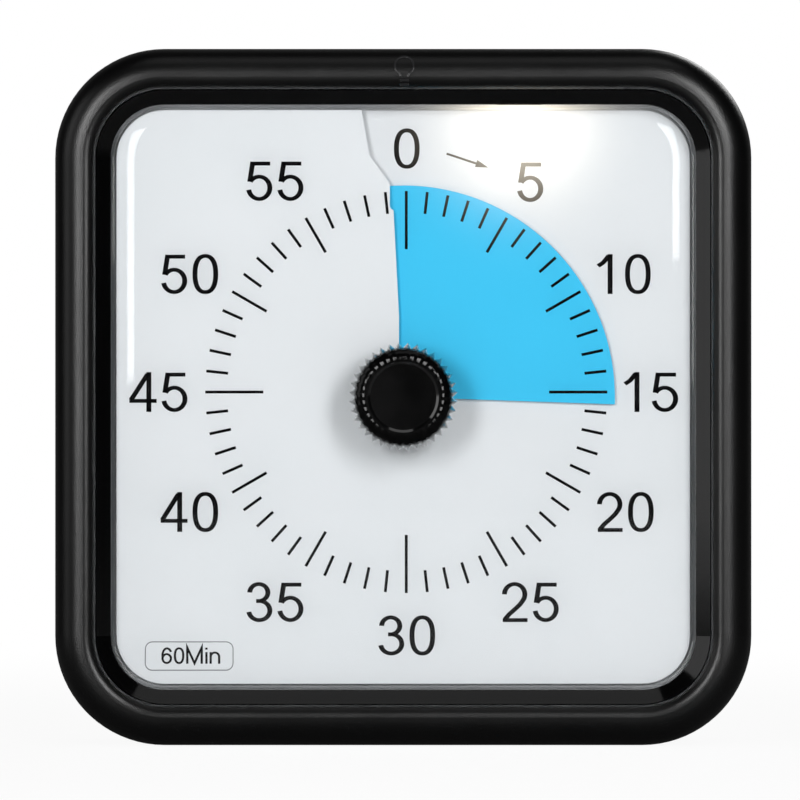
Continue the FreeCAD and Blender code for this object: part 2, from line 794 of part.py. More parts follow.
cut(
    carrier_block, "carrier_back - 1", "carrier_front - 0.2",
    *[(x, y, "small_screw_radius + thread_gap") for x, y in case_posts])
dial_bed = new_body("dial_bed", kept=False)
bed_height = "dial_thickness + 2 * running_gap + 3 * screw_pitch"
bed_start = "-(dial_lap_angle + 1)"
bed_level = "dial_level + screw_pitch * (1 - (dial_lap_angle + 1) / 360)"
screw_leaf(
    dial_bed, "carrier_well_radius - 1", "body_width * 0.65", bed_height,
    bed_start, bed_start + " + 360", bed_level)
dial_carrier = document.addObject("Part::Cut", "dial_carrier")
dial_carrier.Base = carrier_block
dial_carrier.Tool = dial_bed
keep(dial_carrier, "dial_carrier")

# Time disc: a blue leaf of just under one turn on a hub that slides along the shaft
time_disc = new_body("time_disc")
disc_start_angle = "disc_set_angle - disc_sweep"
disc_start_level = "dial_level + screw_pitch * (disc_set_angle - disc_sweep) / 360"
screw_leaf(
    time_disc, "hub_radius", "disc_radius", "disc_thickness", disc_start_angle, "disc_set_angle",
    disc_start_level)
disc_hub = new_body("disc_hub")
hub_low = disc_start_level + " - disc_thickness / 2 - hub_margin"
hub_high = "dial_level + screw_pitch * disc_set_angle / 360 + disc_thickness / 2 + hub_margin"


def flatted_hole(gap):
    """Outline of the shaft's D section, opened by a clearance."""
    radius = "(shaft_radius + %s)" % gap
    flat = "(shaft_flat + %s)" % gap
    rise = "sqrt(%s ^ 2 - %s ^ 2)" % (radius, flat)
    return [
        (flat, minus(rise)), (flat, rise, radius, 1),
        (minus(radius), "0", radius, 1),
    ]


add(disc_hub, hub_low, hub_high, ("0", "0", "hub_radius"), flatted_hole("running_gap"))

# Knob: a domed cap with thirty-six V teeth that run over its shoulder
timer_knob = new_body("timer_knob")
shoulder = "knob_shoulder_radius"
revolve(timer_knob, [
    ("0", "knob_sleeve_end"), ("knob_sleeve_radius", "knob_sleeve_end"),
    ("knob_sleeve_radius", "knob_back"), ("knob_tip_radius", "knob_back"),
    ("knob_tip_radius", "knob_front - " + shoulder, shoulder, 1),
    ("knob_tip_radius - " + shoulder, "knob_front"), ("knob_face_radius", "knob_front"),
    ("knob_face_radius - 0.5", "knob_front - knob_face_dish"), ("0", "knob_front - knob_face_dish"),
])
tooth_path = new_sketch(timer_knob, "XZ_Plane")
path_points = [
    (size("knob_tip_radius"), size("knob_back - 1")),
    (size("knob_tip_radius"), size("knob_front - " + shoulder)),
]
path_start = FreeCAD.Vector(path_points[0][0], path_points[0][1], 0)
path_bend = FreeCAD.Vector(path_points[1][0], path_points[1][1], 0)
path_end = FreeCAD.Vector(size("knob_tip_radius - " + shoulder), size("knob_front"), 0)
straight = tooth_path.addGeometry(Part.LineSegment(path_start, path_bend))
bend = tooth_path.addGeometry(arc_between(path_bend, path_end, size(shoulder), 1))
tooth_path.addConstraint(Sketcher.Constraint("Coincident", straight, 2, bend, 1))
pin_point(tooth_path, straight, 1, "knob_tip_radius", "knob_back - 1")
pin_point(tooth_path, straight, 2, "knob_tip_radius", "knob_front - " + shoulder)
pin_point(tooth_path, bend, 2, "knob_tip_radius - " + shoulder, "knob_front")
hold_radius(tooth_path, bend, shoulder)
tooth_gap = new_sketch(timer_knob, "XY_Plane", "knob_back - 1")
half_pitch = "(knob_tip_radius * tan(180deg / knob_teeth))"
outline(tooth_gap, [
    ("knob_valley", "0"),
    ("knob_tip_radius + 0.3", minus(half_pitch + " * 1.25")),
    ("knob_tip_radius + 0.3", half_pitch + " * 1.25"),
])
groove = timer_knob.newObject("PartDesign::SubtractivePipe", "timer_knob_groove")
groove.Profile = tooth_gap
groove.Spine = (tooth_path, [])
repeat(timer_knob, SIZES["knob_teeth"], groove)
cut(timer_knob, "knob_sleeve_end - 1", "shaft_end + 0.2", flatted_hole("running_gap"))

# Shaft: D section in front, collar for the clutch, thin pivot behind
knob_shaft = new_body("knob_shaft")
collar_low = "wheel_low - clutch_thickness * 3 - shaft_collar_width"
revolve(knob_shaft, [
    ("0", "case_rear_face + 0.2"), ("pivot_radius", "case_rear_face + 0.2"),
    ("pivot_radius", collar_low), ("shaft_collar_radius", collar_low),
    ("shaft_collar_radius", collar_low + " + shaft_collar_width"),
    ("shaft_radius", collar_low + " + shaft_collar_width"), ("shaft_radius", "shaft_end"),
    ("0", "shaft_end"),
])
cut(
    knob_shaft, "carrier_front", "shaft_end + 1",
    rectangle("shaft_flat", "shaft_radius + 1", "-(shaft_radius + 1)", "shaft_radius + 1"))

# Centre wheel, carried by the shaft between the clutch spring and a clip
centre_teeth = int(SIZES["centre_teeth"])
pinion_teeth = int(SIZES["pinion_teeth"])
idler_teeth = int(SIZES["idler_teeth"])
wheel_width = size("wheel_width")
centre_solid = gear_shape(centre_teeth, wheel_width, size("shaft_radius + thread_gap"))
web_inner = size("shaft_radius + 3.5")
web_outer = size("gear_module * centre_teeth / 2 - 2.5")
web_ring = Part.makeCylinder(web_outer, size("wheel_width - wheel_web"))
web_ring = web_ring.cut(Part.makeCylinder(web_inner, size("wheel_width - wheel_web")))
centre_solid = centre_solid.cut(web_ring)
feature_piece("centre_wheel", centre_solid, z="wheel_low")

clutch_spring = new_body("clutch_spring")
collar_top = collar_low + " + shaft_collar_width"
revolve(clutch_spring, [
    ("shaft_radius + 0.2", collar_top), ("shaft_collar_radius", collar_top),
    ("shaft_radius + 2.6", "wheel_low - clutch_thickness"), ("shaft_radius + 2.6", "wheel_low"),
    ("shaft_collar_radius + 0.6", "wheel_low"), ("shaft_radius + 0.2", collar_top + " + clutch_thickness"),
])
shaft_clip = new_body("shaft_clip")
add(
    shaft_clip, "wheel_high", "wheel_high + clip_thickness",
    ("0", "0", "clip_radius"), ("0", "0", "shaft_radius + thread_gap"))
cut(
    shaft_clip, "wheel_high - 1", "wheel_high + clip_thickness + 1",
    rectangle("-(clip_radius + 1)", "0", "-shaft_radius * 0.7", "shaft_radius * 0.7"))

# Idler: wheel, pinion and pivots moulded in one
idler_turn = meshing_angle(centre_teeth, 0, pinion_teeth, size("idler_direction"))
idler_pinion = gear_shape(pinion_teeth, size("wheel_high + 0.6 - idler_high"), 0)
idler_pinion.translate(FreeCAD.Vector(0, 0, size("idler_high - idler_low")))
idler_wheel = gear_shape(idler_teeth, wheel_width, 0)
idler_web = Part.makeCylinder(size("gear_module * idler_teeth / 2 - 2.5"), size("wheel_width - wheel_web"))
idler_web = idler_web.cut(Part.makeCylinder(size("arbor_radius + 2.2"), size("wheel_width - wheel_web")))
arbor = Part.makeCylinder(
    size("arbor_radius"), size("case_front_face - case_rear_face - 0.6"),
    FreeCAD.Vector(0, 0, size("case_rear_face + 0.3 - idler_low")))
idler_solid = idler_wheel.cut(idler_web).fuse([idler_pinion, arbor])
feature_piece("idler_gear", idler_solid, "idler_x", "idler_y", "idler_low", idler_turn)

# Motor pinion on the motor's own shaft
motor_turn = meshing_angle(idler_teeth, idler_turn, pinion_teeth, size("motor_direction"))
pinion_low = "case_floor + 0.6"
motor_solid = gear_shape(pinion_teeth, size("idler_high + 0.6") - size(pinion_low), 0)
stub = Part.makeCylinder(
    size("arbor_radius"), size(pinion_low) - size("motor_front") + 4,
    FreeCAD.Vector(0, 0, size("motor_front") - size(pinion_low) - 4))
feature_piece("motor_pinion", motor_solid.fuse(stub), "motor_x", "motor_y", pinion_low, motor_turn)

# Movement case: front plate against the carrier, deep rear shell with bearing bosses
case_box = rounded_box("-case_left", "case_right", "-case_below", "case_above", "case_corner")
case_inner = rounded_box(
    "-(case_left - case_wall)", "case_right - case_wall",
    "-(case_below - case_wall)", "case_above - case_wall", "(case_corner - case_wall)")
movement_front = new_body("movement_front")
add(movement_front, "case_front_back", "case_front_face", case_box)
add(
    movement_front, "wheel_high + clip_thickness + 0.5", "case_front_back + 0.1",
    ("0", "0", "shaft_radius + 1.6"))
cut(
    movement_front, "wheel_high", "case_front_face + 1", ("0", "0", "shaft_radius + running_gap"),
    ("idler_x", "idler_y", "arbor_radius + running_gap"),
    *[(x, y, "small_screw_radius + seat_gap") for x, y in case_posts])

movement_rear = new_body("movement_rear")
add(movement_rear, "case_rear_face", "case_front_back", case_box)
cut(movement_rear, "case_floor", "case_front_back + 1", case_inner)
add(
    movement_rear, "case_floor - 0.1", "case_front_back",
    *[(x, y, "case_post_radius") for x, y in case_posts])
add(
    movement_rear, "case_floor - 0.1", collar_low + " - 0.4",
    ("0", "0", "pivot_radius + 1.6"))
add(
    movement_rear, "case_floor - 0.1", "idler_low - 0.4",
    ("idler_x", "idler_y", "arbor_radius + 1.4"))
add(
    movement_rear, "case_rear_face - motor_socket_height", "case_rear_face + 0.1",
    ("motor_x", "motor_y", "motor_radius + motor_socket_wall"),
    ("motor_x", "motor_y", "motor_radius + running_gap"))
cut(
    movement_rear, "case_rear_face - 1", "case_front_back",
    ("0", "0", "pivot_radius + running_gap"),
    ("idler_x", "idler_y", "arbor_radius + running_gap"),
    ("motor_x", "motor_y", "motor_bush_radius + seat_gap"),
    *[(x, y, "small_screw_radius + seat_gap") for x, y in case_posts])

timing_motor = new_body("timing_motor")
add(timing_motor, "motor_back", "motor_front", ("motor_x", "motor_y", "motor_radius"))
add(timing_motor, "motor_front - 0.1", "case_floor - 0.2", ("motor_x", "motor_y", "motor_bush_radius"))
cut(timing_motor, "motor_front - 4.3", "case_floor", ("motor_x", "motor_y", "arbor_radius + running_gap"))
add(
    timing_motor, "motor_back + 0.6", "motor_back + 3.6",
    rectangle("motor_x - 4", "motor_x + 4", "motor_y + motor_radius - 1", "motor_y + motor_radius + 1.6"))

# Back cover: shallow tray with the battery bay, keyhole, vents and screw wells
back_cover = new_body("back_cover")
swept_ring(back_cover, [
    ("0", "split"), ("wall + tongue_gap", "split"), ("wall + tongue_gap", "split + tongue_height"),
    ("wall + tongue_gap + tongue_thickness", "split + tongue_height"),
    ("wall + tongue_gap + tongue_thickness", "back_round"),
    ("wall + tongue_gap + tongue_thickness", "wall"), ("back_round * 3", "wall"),
    ("back_round * 3", "0"), ("back_round", "0", "back_round", -1), ("0", "back_round"),
])
add(back_cover, "0", "wall", case_outline("back_round * 3 - 0.5"))
cut(
    back_cover, "split + 0.01", "split + tongue_height + 1",
    *[("%scorner_post" % a, "%scorner_post" % b, "corner_post_radius + loose_gap")
      for a in ("", "-") for b in ("", "-")])
well = add(back_cover, "wall - 0.1", "split", ("corner_post", "corner_post", "case_screw_head + 1.1"))
four_times(back_cover, well)
well_hole = cut(
    back_cover, "-1", "split + 1", ("corner_post", "corner_post", "case_screw_radius + seat_gap"))
well_sink = cut(
    back_cover, "-1", "case_screw_sink", ("corner_post", "corner_post", "case_screw_head + seat_gap"))
four_times(back_cover, well_hole, well_sink)
# battery bay
add(
    back_cover, "wall - 0.3", "bay_depth + bay_floor",
    rectangle("-recess_side", "recess_side", "recess_bottom - bay_wall", "recess_top"))
cut(back_cover, "-1", "bay_depth", rectangle("-bay_half_length", "bay_half_length", "bay_bottom", "bay_top"))
cut(back_cover, "-1", "door_thickness", rectangle("-recess_side", "recess_side", "ear_top", "recess_top"))
cut(
    back_cover, "-1", "hinge_depth",
    rectangle("-ear_side", "ear_side", "recess_bottom", "ear_top + 0.1"))
cut(
    back_cover, "-(ear_side + hinge_pin_length)", "ear_side + hinge_pin_length",
    ("hinge_y", "hinge_radius", "hinge_pin_radius + running_gap"), plane="YZ_Plane")
cut(
    back_cover, "-1", "finger_depth", ("0", "recess_top + 2", "finger_radius"))
# keyhole and its closed box
add(
    back_cover, "wall - 0.1", "wall + keyhole_depth + keyhole_wall",
    rectangle("-(keyhole_radius + keyhole_wall + 1)", "keyhole_radius + keyhole_wall + 1",
              "keyhole_high - keyhole_radius - keyhole_wall - 1",
              "keyhole_high + keyhole_rise + keyhole_radius + keyhole_wall"))
cut(
    back_cover, "wall", "wall + keyhole_depth",
    rectangle("-(keyhole_radius + 1)", "keyhole_radius + 1",
              "keyhole_high - keyhole_radius - 1",
              "keyhole_high + keyhole_rise + keyhole_radius"))
cut(back_cover, "-1", "wall + 0.1", ("0", "keyhole_high", "keyhole_radius"))
cut(
    back_cover, "-1", "wall + 0.1",
    rounded_box("-keyhole_slot_radius", "keyhole_slot_radius", "keyhole_high",
                "keyhole_high + keyhole_rise", "(keyhole_slot_radius - 0.01)"))
# board posts, sounder vents and volume slot
board_posts = [
    ("-(board_left - 3)", "board_low + 3"), ("-(board_right + 3)", "board_low + 3"),
    ("-(board_right + 3)", "board_high - 3"),
]
add(back_cover, "wall - 0.1", "board_back", *[(x, y, "board_post_radius") for x, y in board_posts])
cut(
    back_cover, "wall - 1", "board_back + 1",
    *[(x, y, "small_screw_radius + thread_gap") for x, y in board_posts])
vents = []
for step in (-2, -1, 0, 1, 2):
    middle = "sounder_high + %d * vent_pitch" % step
    vents.append(rounded_box(
        "-(sounder_side + vent_length / 2)", "-(sounder_side - vent_length / 2)",
        middle + " - vent_width / 2", middle + " + vent_width / 2", "(vent_width / 2 - 0.01)"))
cut(back_cover, "-1", "wall + 1", *vents)
volume_middle = "-volume_side"
cut(
    back_cover, "-1", "volume_recess_depth",
    rounded_box(volume_middle + " - volume_recess_length / 2", volume_middle + " + volume_recess_length / 2",
                "volume_high - volume_recess_height / 2", "volume_high + volume_recess_height / 2", "1.5"))
cut(
    back_cover, "-1", "wall + 1",
    rectangle(volume_middle + " - volume_stem_length / 2 - volume_travel - loose_gap",
              volume_middle + " + volume_stem_length / 2 + volume_travel + loose_gap",
              "volume_high - volume_stem_height / 2 - door_gap",
              "volume_high + volume_stem_height / 2 + door_gap"))

# Battery door: flat lid with a round knuckle and two pins along its lower edge
battery_door = new_body("battery_door")
add(
    battery_door, "0", "door_thickness - 0.05",
    rectangle("-(recess_side - door_gap)", "recess_side - door_gap",
              "hinge_y + hinge_shoulder", "recess_top - door_gap"))
add(
    battery_door, "0", "door_thickness - 0.05",
    rectangle("-hinge_half_length", "hinge_half_length", "hinge_y", "hinge_y + hinge_shoulder + 0.1"))
add(
    battery_door, "-hinge_half_length", "hinge_half_length",
    ("hinge_y", "hinge_radius", "hinge_radius"), plane="YZ_Plane")
add(
    battery_door, "-(hinge_half_length + hinge_pin_length)", "hinge_half_length + hinge_pin_length",
    ("hinge_y", "hinge_radius", "hinge_pin_radius"), plane="YZ_Plane")
for step in range(5):
    middle = "recess_top - door_rib_start - %d * door_rib_pitch" % step
    reach = "(door_rib_reach - %d)" % step
    cut(
        battery_door, "-1", "door_rib_depth",
        rectangle(minus(reach), reach, middle + " - door_rib_half", middle + " + door_rib_half"))

# Cells, one each way round, and their contacts
for label, y_text, nub_side in (("cell_upper", "cell_high_y", 1), ("cell_lower", "cell_low_y", -1)):
    cell = new_body(label)
    stand_up(cell, "0", y_text, "cell_level")
    nub_end = "contact_face"
    can_end = nub_end + " - cell_nub_length"
    can_start = can_end + " - cell_length"
    stations = [
        (can_start, "0"), (nub_end, "0"), (nub_end, "cell_nub_radius"), (can_end, "cell_nub_radius"),
        (can_end, "cell_radius - 0.8", "0.8", 1), (can_end + " - 0.8", "cell_radius"),
        (can_start + " + 0.5", "cell_radius"), (can_start, "cell_radius - 0.5"),
    ]
    if nub_side < 0:
        stations = [
            (minus(corner[0]),) + tuple(corner[1:3]) + ((-1,) if len(corner) == 4 else ())
            for corner in stations
        ]
    revolve(cell, stations, "XZ_Plane", "H_Axis")

for label, side, middle in (
        ("contact_spring_right", 1, "cell_low_y"), ("contact_spring_left", -1, "cell_high_y")):
    spring = new_body(label)
    stand_up(spring, "0", middle, "cell_level")
    foot = "contact_face" if side > 0 else "-contact_face"
    tip = "(contact_face - spring_length)" if side > 0 else "-(contact_face - spring_length)"
    revolve(spring, [
        (foot, "contact_spring_radius - contact_spring_wall"), (foot, "contact_spring_radius"),
        (tip, "contact_spring_tip"), (tip, "contact_spring_tip - contact_spring_wall"),
    ], "XZ_Plane", "H_Axis")
half_contact = "contact_width / 2"
for label, side, places in (
        ("contact_plates_right", 1, ("cell_high_y", "cell_low_y")),
        ("contact_bridge_left", -1, ("cell_high_y",))):
    plate = new_body(label)
    low, high = ("contact_face", "bay_half_length")
    if side < 0:
        low, high = minus(high), minus(low)
    loops = []
    for middle in places:
        bottom = middle + " - " + half_contact
        if side < 0:
            bottom = "cell_low_y - " + half_contact
        loops.append(rectangle(
            bottom, middle + " + " + half_contact,
            "cell_level - " + half_contact, "cell_level + " + half_contact))
    add(plate, low, high, *loops, plane="YZ_Plane")

# Main board with its parts
main_board = new_body("main_board")
add(
    main_board, "board_back", "board_front",
    rounded_box("-board_left", "-board_right", "board_low", "board_high", "1.5"),
    *[(x, y, "small_screw_radius + seat_gap") for x, y in board_posts])
control_chip = new_body("control_chip")
add(
    control_chip, "board_front", "board_front + chip_height",
    rectangle("-(volume_side + chip_length)", "-volume_side",
              "board_high - 8 - chip_width", "board_high - 8"))
filter_capacitor = new_body("filter_capacitor")
add(
    filter_capacitor, "board_front", "board_front + capacitor_height",
    ("-(board_left - 6)", "board_high - 8", "capacitor_radius"))
timing_crystal = new_body("timing_crystal")
add(
    timing_crystal, "-(volume_side + crystal_length)", "-volume_side",
    ("board_low + 6", "board_front + crystal_radius", "crystal_radius"), plane="YZ_Plane")
alarm_sounder = new_body("alarm_sounder")
add(
    alarm_sounder, "board_back - sounder_height", "board_back",
    ("-sounder_side", "sounder_high", "sounder_radius"))
cut(
    alarm_sounder, "board_back - sounder_height - 1", "board_back - sounder_height + 0.8",
    ("-sounder_side", "sounder_high", "1.2"))
volume_switch = new_body("volume_switch")
switch_low = "wall + loose_gap"
add(
    volume_switch, switch_low, "board_back",
    rectangle(volume_middle + " - volume_body_length / 2", volume_middle + " + volume_body_length / 2",
              "volume_high - volume_body_height / 2", "volume_high + volume_body_height / 2"))
cut(
    volume_switch, switch_low + " - 1", "board_back - 1.2",
    rectangle(volume_middle + " - volume_stem_length / 2 - volume_travel - door_gap",
              volume_middle + " + volume_stem_length / 2 + volume_travel + door_gap",
              "volume_high - volume_stem_height / 2 - running_gap",
              "volume_high + volume_stem_height / 2 + running_gap"))
volume_slider = new_body("volume_slider")
add(
    volume_slider, "0.15", "volume_recess_depth - running_gap",
    rectangle(volume_middle + " - volume_cap / 2", volume_middle + " + volume_cap / 2",
              "volume_high - volume_cap / 2", "volume_high + volume_cap / 2"))
add(
    volume_slider, "volume_recess_depth - 0.2", "board_back - 1.5",
    rectangle(volume_middle + " - volume_stem_length / 2", volume_middle + " + volume_stem_length / 2",
              "volume_high - volume_stem_height / 2", "volume_high + volume_stem_height / 2"))
for side in ("-", "+"):
    cut(
        volume_slider, "0", "0.5",
        rectangle(volume_middle + " %s 1.2 - 0.3" % side, volume_middle + " %s 1.2 + 0.3" % side,
                  "volume_high - 2", "volume_high + 2"))

# Night light: board under the top wall, lamp at its front tongue, switch and button
light_board = new_body("light_board")
tongue_low = "light_side - light_tongue_half"
tongue_high = "light_side + light_tongue_half"
add(
    light_board, "-light_board_top", "-light_board_high",
    [("-light_board_left", "light_board_back"), ("light_board_right", "light_board_back"),
     ("light_board_right", "light_board_front"), (tongue_high, "light_board_front"),
     (tongue_high, "light_tongue_front"), (tongue_low, "light_tongue_front"),
     (tongue_low, "light_board_front"), ("-light_board_left", "light_board_front")],
    *[(x, z, "small_screw_radius + seat_gap") for x, z, radius in light_posts], plane="XZ_Plane")
night_lamp = new_body("night_lamp")
add(
    night_lamp, "-light_board_high", "-(light_board_high - light_height)",
    rectangle("light_side - light_width / 2", "light_side + light_width / 2",
              "light_tongue_front - 0.3 - light_depth", "light_tongue_front - 0.3"), plane="XZ_Plane")
light_switch = new_body("light_switch")
switch_half = "switch_width / 2"
add(
    light_switch, "-(light_board_top + switch_height)", "-light_board_top",
    rectangle(minus(switch_half), switch_half,
              "button_level - " + switch_half, "button_level + " + switch_half), plane="XZ_Plane")
cut(
    light_switch, "-(light_board_top + switch_height + 1)", "-(light_board_top + 1)",
    ("0", "button_level", "plunger_radius + running_gap"), plane="XZ_Plane")
switch_plunger = new_body("switch_plunger")
add(
    switch_plunger, "-button_bottom", "-plunger_low",
    ("0", "button_level", "plunger_radius"), plane="XZ_Plane")
light_button = new_body("light_button")
flange_level = "button_bottom + button_flange_height"


def pill_outline(extra):
    """Outline of the button, grown by a margin."""
    length = "(button_half_length + %s)" % extra
    radius = "(button_radius + %s)" % extra
    return rounded_box(
        minus(length), length, "button_level - " + radius, "button_level + " + radius,
        "(%s - 0.01)" % radius)


add(
    light_button, minus(flange_level), minus("button_bottom"), pill_outline("button_flange"),
    plane="XZ_Plane")
add(light_button, minus("button_top"), minus(flange_level + " - 0.1"), pill_outline("0"), plane="XZ_Plane")

# Screws
corners = [("%scorner_post" % a, "%scorner_post" % b) for a in ("", "-") for b in ("", "-")]
screw_set(
    "housing_screws", corners, "case_screw_radius", "case_screw_head", "case_screw_head_height",
    "split + 10 - case_screw_sink", "case_screw_sink - case_screw_head_height")
sides = [
    ("side_post", "carrier_screw_side"), ("-carrier_screw_side", "side_post"),
    ("-side_post", "-carrier_screw_side"), ("carrier_screw_side", "-side_post"),
]
screw_set(
    "carrier_screws", sides, "small_screw_radius", "small_screw_head", "small_screw_head_height",
    "small_screw_length + carrier_thickness - 0.6", "carrier_back - small_screw_head_height")
screw_set(
    "movement_screws", case_posts, "small_screw_radius", "small_screw_head", "small_screw_head_height",
    "carrier_front - 0.3 - case_rear_face", "case_rear_face - small_screw_head_height")
board_screws = screw_set(
    "board_screws", board_posts, "small_screw_radius", "small_screw_head", "small_screw_head_height",
    "board_thickness + 3", "0")
light_places = [(x, z) for x, z, radius in light_posts]
light_screws = screw_set(
    "light_screws", light_places, "small_screw_radius", "small_screw_head",
    "small_screw_head_height", "light_board_thickness + 5", "0")

document.recompute()


def turn_screws(screws, places, angle, seats):
    """Turn each screw of a set about its own head, and stand it on its seat."""
    upright = screws.Shape.copy()
    upright.Placement = FreeCAD.Placement()
    solids = []
    for (x, y), seat, solid in zip(places, seats, upright.Solids):
        lone = solid.copy()
        lone.translate(FreeCAD.Vector(-size(x), -size(y), 0))
        lone.rotate(FreeCAD.Vector(0, 0, 0), FreeCAD.Vector(1, 0, 0), angle)
        lone.translate(FreeCAD.Vector(*[size(length) for length in seat]))
        solids.append(lone)
    screws.Shape = Part.makeCompound(solids)
    stand_up(screws)


# The board's screws point back from its front face, and the light board's point up
turn_screws(
    board_screws, board_posts, 180,
    [(x, y, "board_front + small_screw_head_height") for x, y in board_posts])
turn_screws(
    light_screws, light_places, -90,
    [(x, "light_board_high - small_screw_head_height", z) for x, z in light_places])
document.recompute()

# Every feature has to be sound before anything is written
problems = []
for item in document.Objects:
    if "Invalid" in item.State or "Error" in item.State:
        problems.append("%s is in state %s" % (item.Label, item.State))
    base = getattr(item, "BaseFeature", None)
    if base and hasattr(item, "AddSubShape") and not item.Shape.isNull():
        before, after, tool = base.Shape.Volume, item.Shape.Volume, item.AddSubShape.Volume
        taken = item.TypeId in ("PartDesign::Pocket", "PartDesign::SubtractivePipe")
        change = before - after if taken else after - before
        if change < 0.001 or change > tool + 0.01:
            problems.append("%s changes %.3f with a tool of %.3f" % (item.Name, change, tool))
for piece in NODES:
    if piece.Shape.isNull() or not piece.Shape.isValid():
        problems.append("%s has no valid shape" % piece.Label)
if problems:
    raise RuntimeError("; ".join(problems))

os.makedirs("parts", exist_ok=True)
for piece in NODES:
    piece.Shape.exportStep("parts/%s.step" % piece.Label)
    box = piece.Shape.BoundBox
    print("%-22s %2d solid(s) %9.1f mm3  x %.1f %.1f  y %.1f %.1f  z %.1f %.1f" % (
        piece.Label, len(piece.Shape.Solids), piece.Shape.Volume,
        box.XMin, box.XMax, box.YMin, box.YMax, box.ZMin, box.ZMax))
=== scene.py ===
# %% [markdown]
# This lesson dresses a visual countdown timer. The timer is a black square case with a
# white dial behind a clear window, and a blue disc that screws out through a slit in the
# dial to show the minutes left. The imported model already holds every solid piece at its
# real size, so what is added here is what the eye reads next: the print on the window,
# the light symbol moulded on the top rail, and a finish for each material. Blender works
# in metres, and MM turns the millimetres that a maker writes into them.

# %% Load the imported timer
import math

import bpy
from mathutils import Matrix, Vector


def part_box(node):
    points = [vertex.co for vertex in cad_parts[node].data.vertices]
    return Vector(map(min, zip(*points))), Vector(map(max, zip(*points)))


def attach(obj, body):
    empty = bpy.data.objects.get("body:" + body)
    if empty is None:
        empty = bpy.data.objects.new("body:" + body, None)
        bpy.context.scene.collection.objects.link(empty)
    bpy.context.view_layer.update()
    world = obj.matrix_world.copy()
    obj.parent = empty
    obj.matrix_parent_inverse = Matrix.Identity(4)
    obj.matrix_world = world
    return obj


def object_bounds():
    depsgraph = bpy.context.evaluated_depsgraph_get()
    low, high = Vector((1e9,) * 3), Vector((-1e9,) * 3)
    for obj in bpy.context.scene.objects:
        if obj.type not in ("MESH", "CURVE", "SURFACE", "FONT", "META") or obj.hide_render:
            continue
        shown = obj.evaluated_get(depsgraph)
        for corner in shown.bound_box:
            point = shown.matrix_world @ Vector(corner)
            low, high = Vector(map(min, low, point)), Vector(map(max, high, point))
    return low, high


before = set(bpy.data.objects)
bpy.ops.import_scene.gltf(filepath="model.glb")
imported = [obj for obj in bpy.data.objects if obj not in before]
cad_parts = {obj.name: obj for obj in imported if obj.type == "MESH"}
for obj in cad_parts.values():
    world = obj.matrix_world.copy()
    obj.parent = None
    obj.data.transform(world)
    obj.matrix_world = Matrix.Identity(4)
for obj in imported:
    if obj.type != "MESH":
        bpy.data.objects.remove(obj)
cad_low, cad_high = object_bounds()
MM = 0.001
print("box in mm:", [round(length / MM, 1) for length in cad_high - cad_low])

# %% [markdown]
# Every place below is measured from pieces that the model already has. The dial's middle
# is the knob's axis, and the print sits a little up and to the right of it, as a film that
# was laid on by hand does. The ink is on the inside of the window, because its marks also
# lie over the blue disc.

# %% Places taken from the model
window_low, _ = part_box("front_window")
knob_low, knob_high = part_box("timer_knob")
lamp_low, lamp_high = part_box("night_lamp")
PANE_THICKNESS = 1.5 * MM
PRINT_SHIFT_SIDE = 0.6 * MM
PRINT_SHIFT_UP = 1.0 * MM
dial_middle = (knob_low + knob_high) / 2
pane_back = window_low.y + PANE_THICKNESS
print_middle = Vector((PRINT_SHIFT_SIDE, pane_back, dial_middle.z + PRINT_SHIFT_UP))
print("print middle in mm:", [round(length / MM, 2) for length in print_middle])

# %% [markdown]
# An operator acts on all that is selected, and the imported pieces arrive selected. So each
# new piece starts from an empty selection. A stroke of ink is a thin strip, and the short
# way to draw one is a flat curve with a pen nib as its bevel: the curve gives the line and
# the nib its width. A wide nib makes upright strokes thicker than level ones, as in most
# sans-serif figures, so the line is drawn narrow and then stretched sideways.

# %% Draw strips with a nib
SAME_POINT = 0.01 * MM


def start_clean():
    """Select nothing, so that an operator touches only the new piece."""
    bpy.ops.object.select_all(action="DESELECT")


def flat_curve(name, lines):
    """Flat curve through the points of each line; a line that ends where it starts is closed."""
    start_clean()
    bpy.ops.curve.primitive_bezier_curve_add()
    curve = bpy.context.active_object
    curve.name = name
    curve.data.dimensions = "2D"
    curve.data.fill_mode = "NONE"
    curve.data.splines.clear()
    for line in lines:
        closed = len(line) > 2 and math.dist(line[0], line[-1]) < SAME_POINT
        points = line[:-1] if closed else line
        spline = curve.data.splines.new("POLY")
        spline.points.add(len(points) - 1)
        for point, (x, y) in zip(spline.points, points):
            point.co = (x, y, 0, 1)
        spline.use_cyclic_u = closed
    return curve


def strips(name, lines, width, spread=1.0):
    """Strips of one width along lines, as a mesh in the XY plane."""
    nib = flat_curve("nib", [[(-width / 2, 0), (width / 2, 0)]])
    narrow = [[(x / spread, y) for x, y in line] for line in lines]
    piece = flat_curve(name, narrow)
    piece.data.bevel_mode = "OBJECT"
    piece.data.bevel_object = nib
    bpy.ops.object.convert(target="MESH")
    piece = bpy.context.active_object
    piece.scale.x = spread
    bpy.ops.object.transform_apply(location=True, rotation=True, scale=True)
    bpy.data.objects.remove(nib)
    return piece


def stepped(points, step=1.0 * MM):
    """The same line with extra points, so that a strip along it can follow a bent surface."""
    line = [points[0]]
    for start, end in zip(points, points[1:]):
        count = max(1, math.ceil(math.dist(start, end) / step))
        for index in range(1, count + 1):
            share = index / count
            line.append((
                start[0] + (end[0] - start[0]) * share,
                start[1] + (end[1] - start[1]) * share))
    return line


def bow(x, y, across, up, first, last, squareness=2.0, steps=24):
    """Points along a stretched circle between two angles in degrees; over 2 it is squarer."""
    points = []
    for index in range(steps + 1):
        angle = math.radians(first + (last - first) * index / steps)
        side, rise = math.cos(angle), math.sin(angle)
        points.append((
            x + across * math.copysign(abs(side) ** (2 / squareness), side),
            y + up * math.copysign(abs(rise) ** (2 / squareness), rise)))
    return points


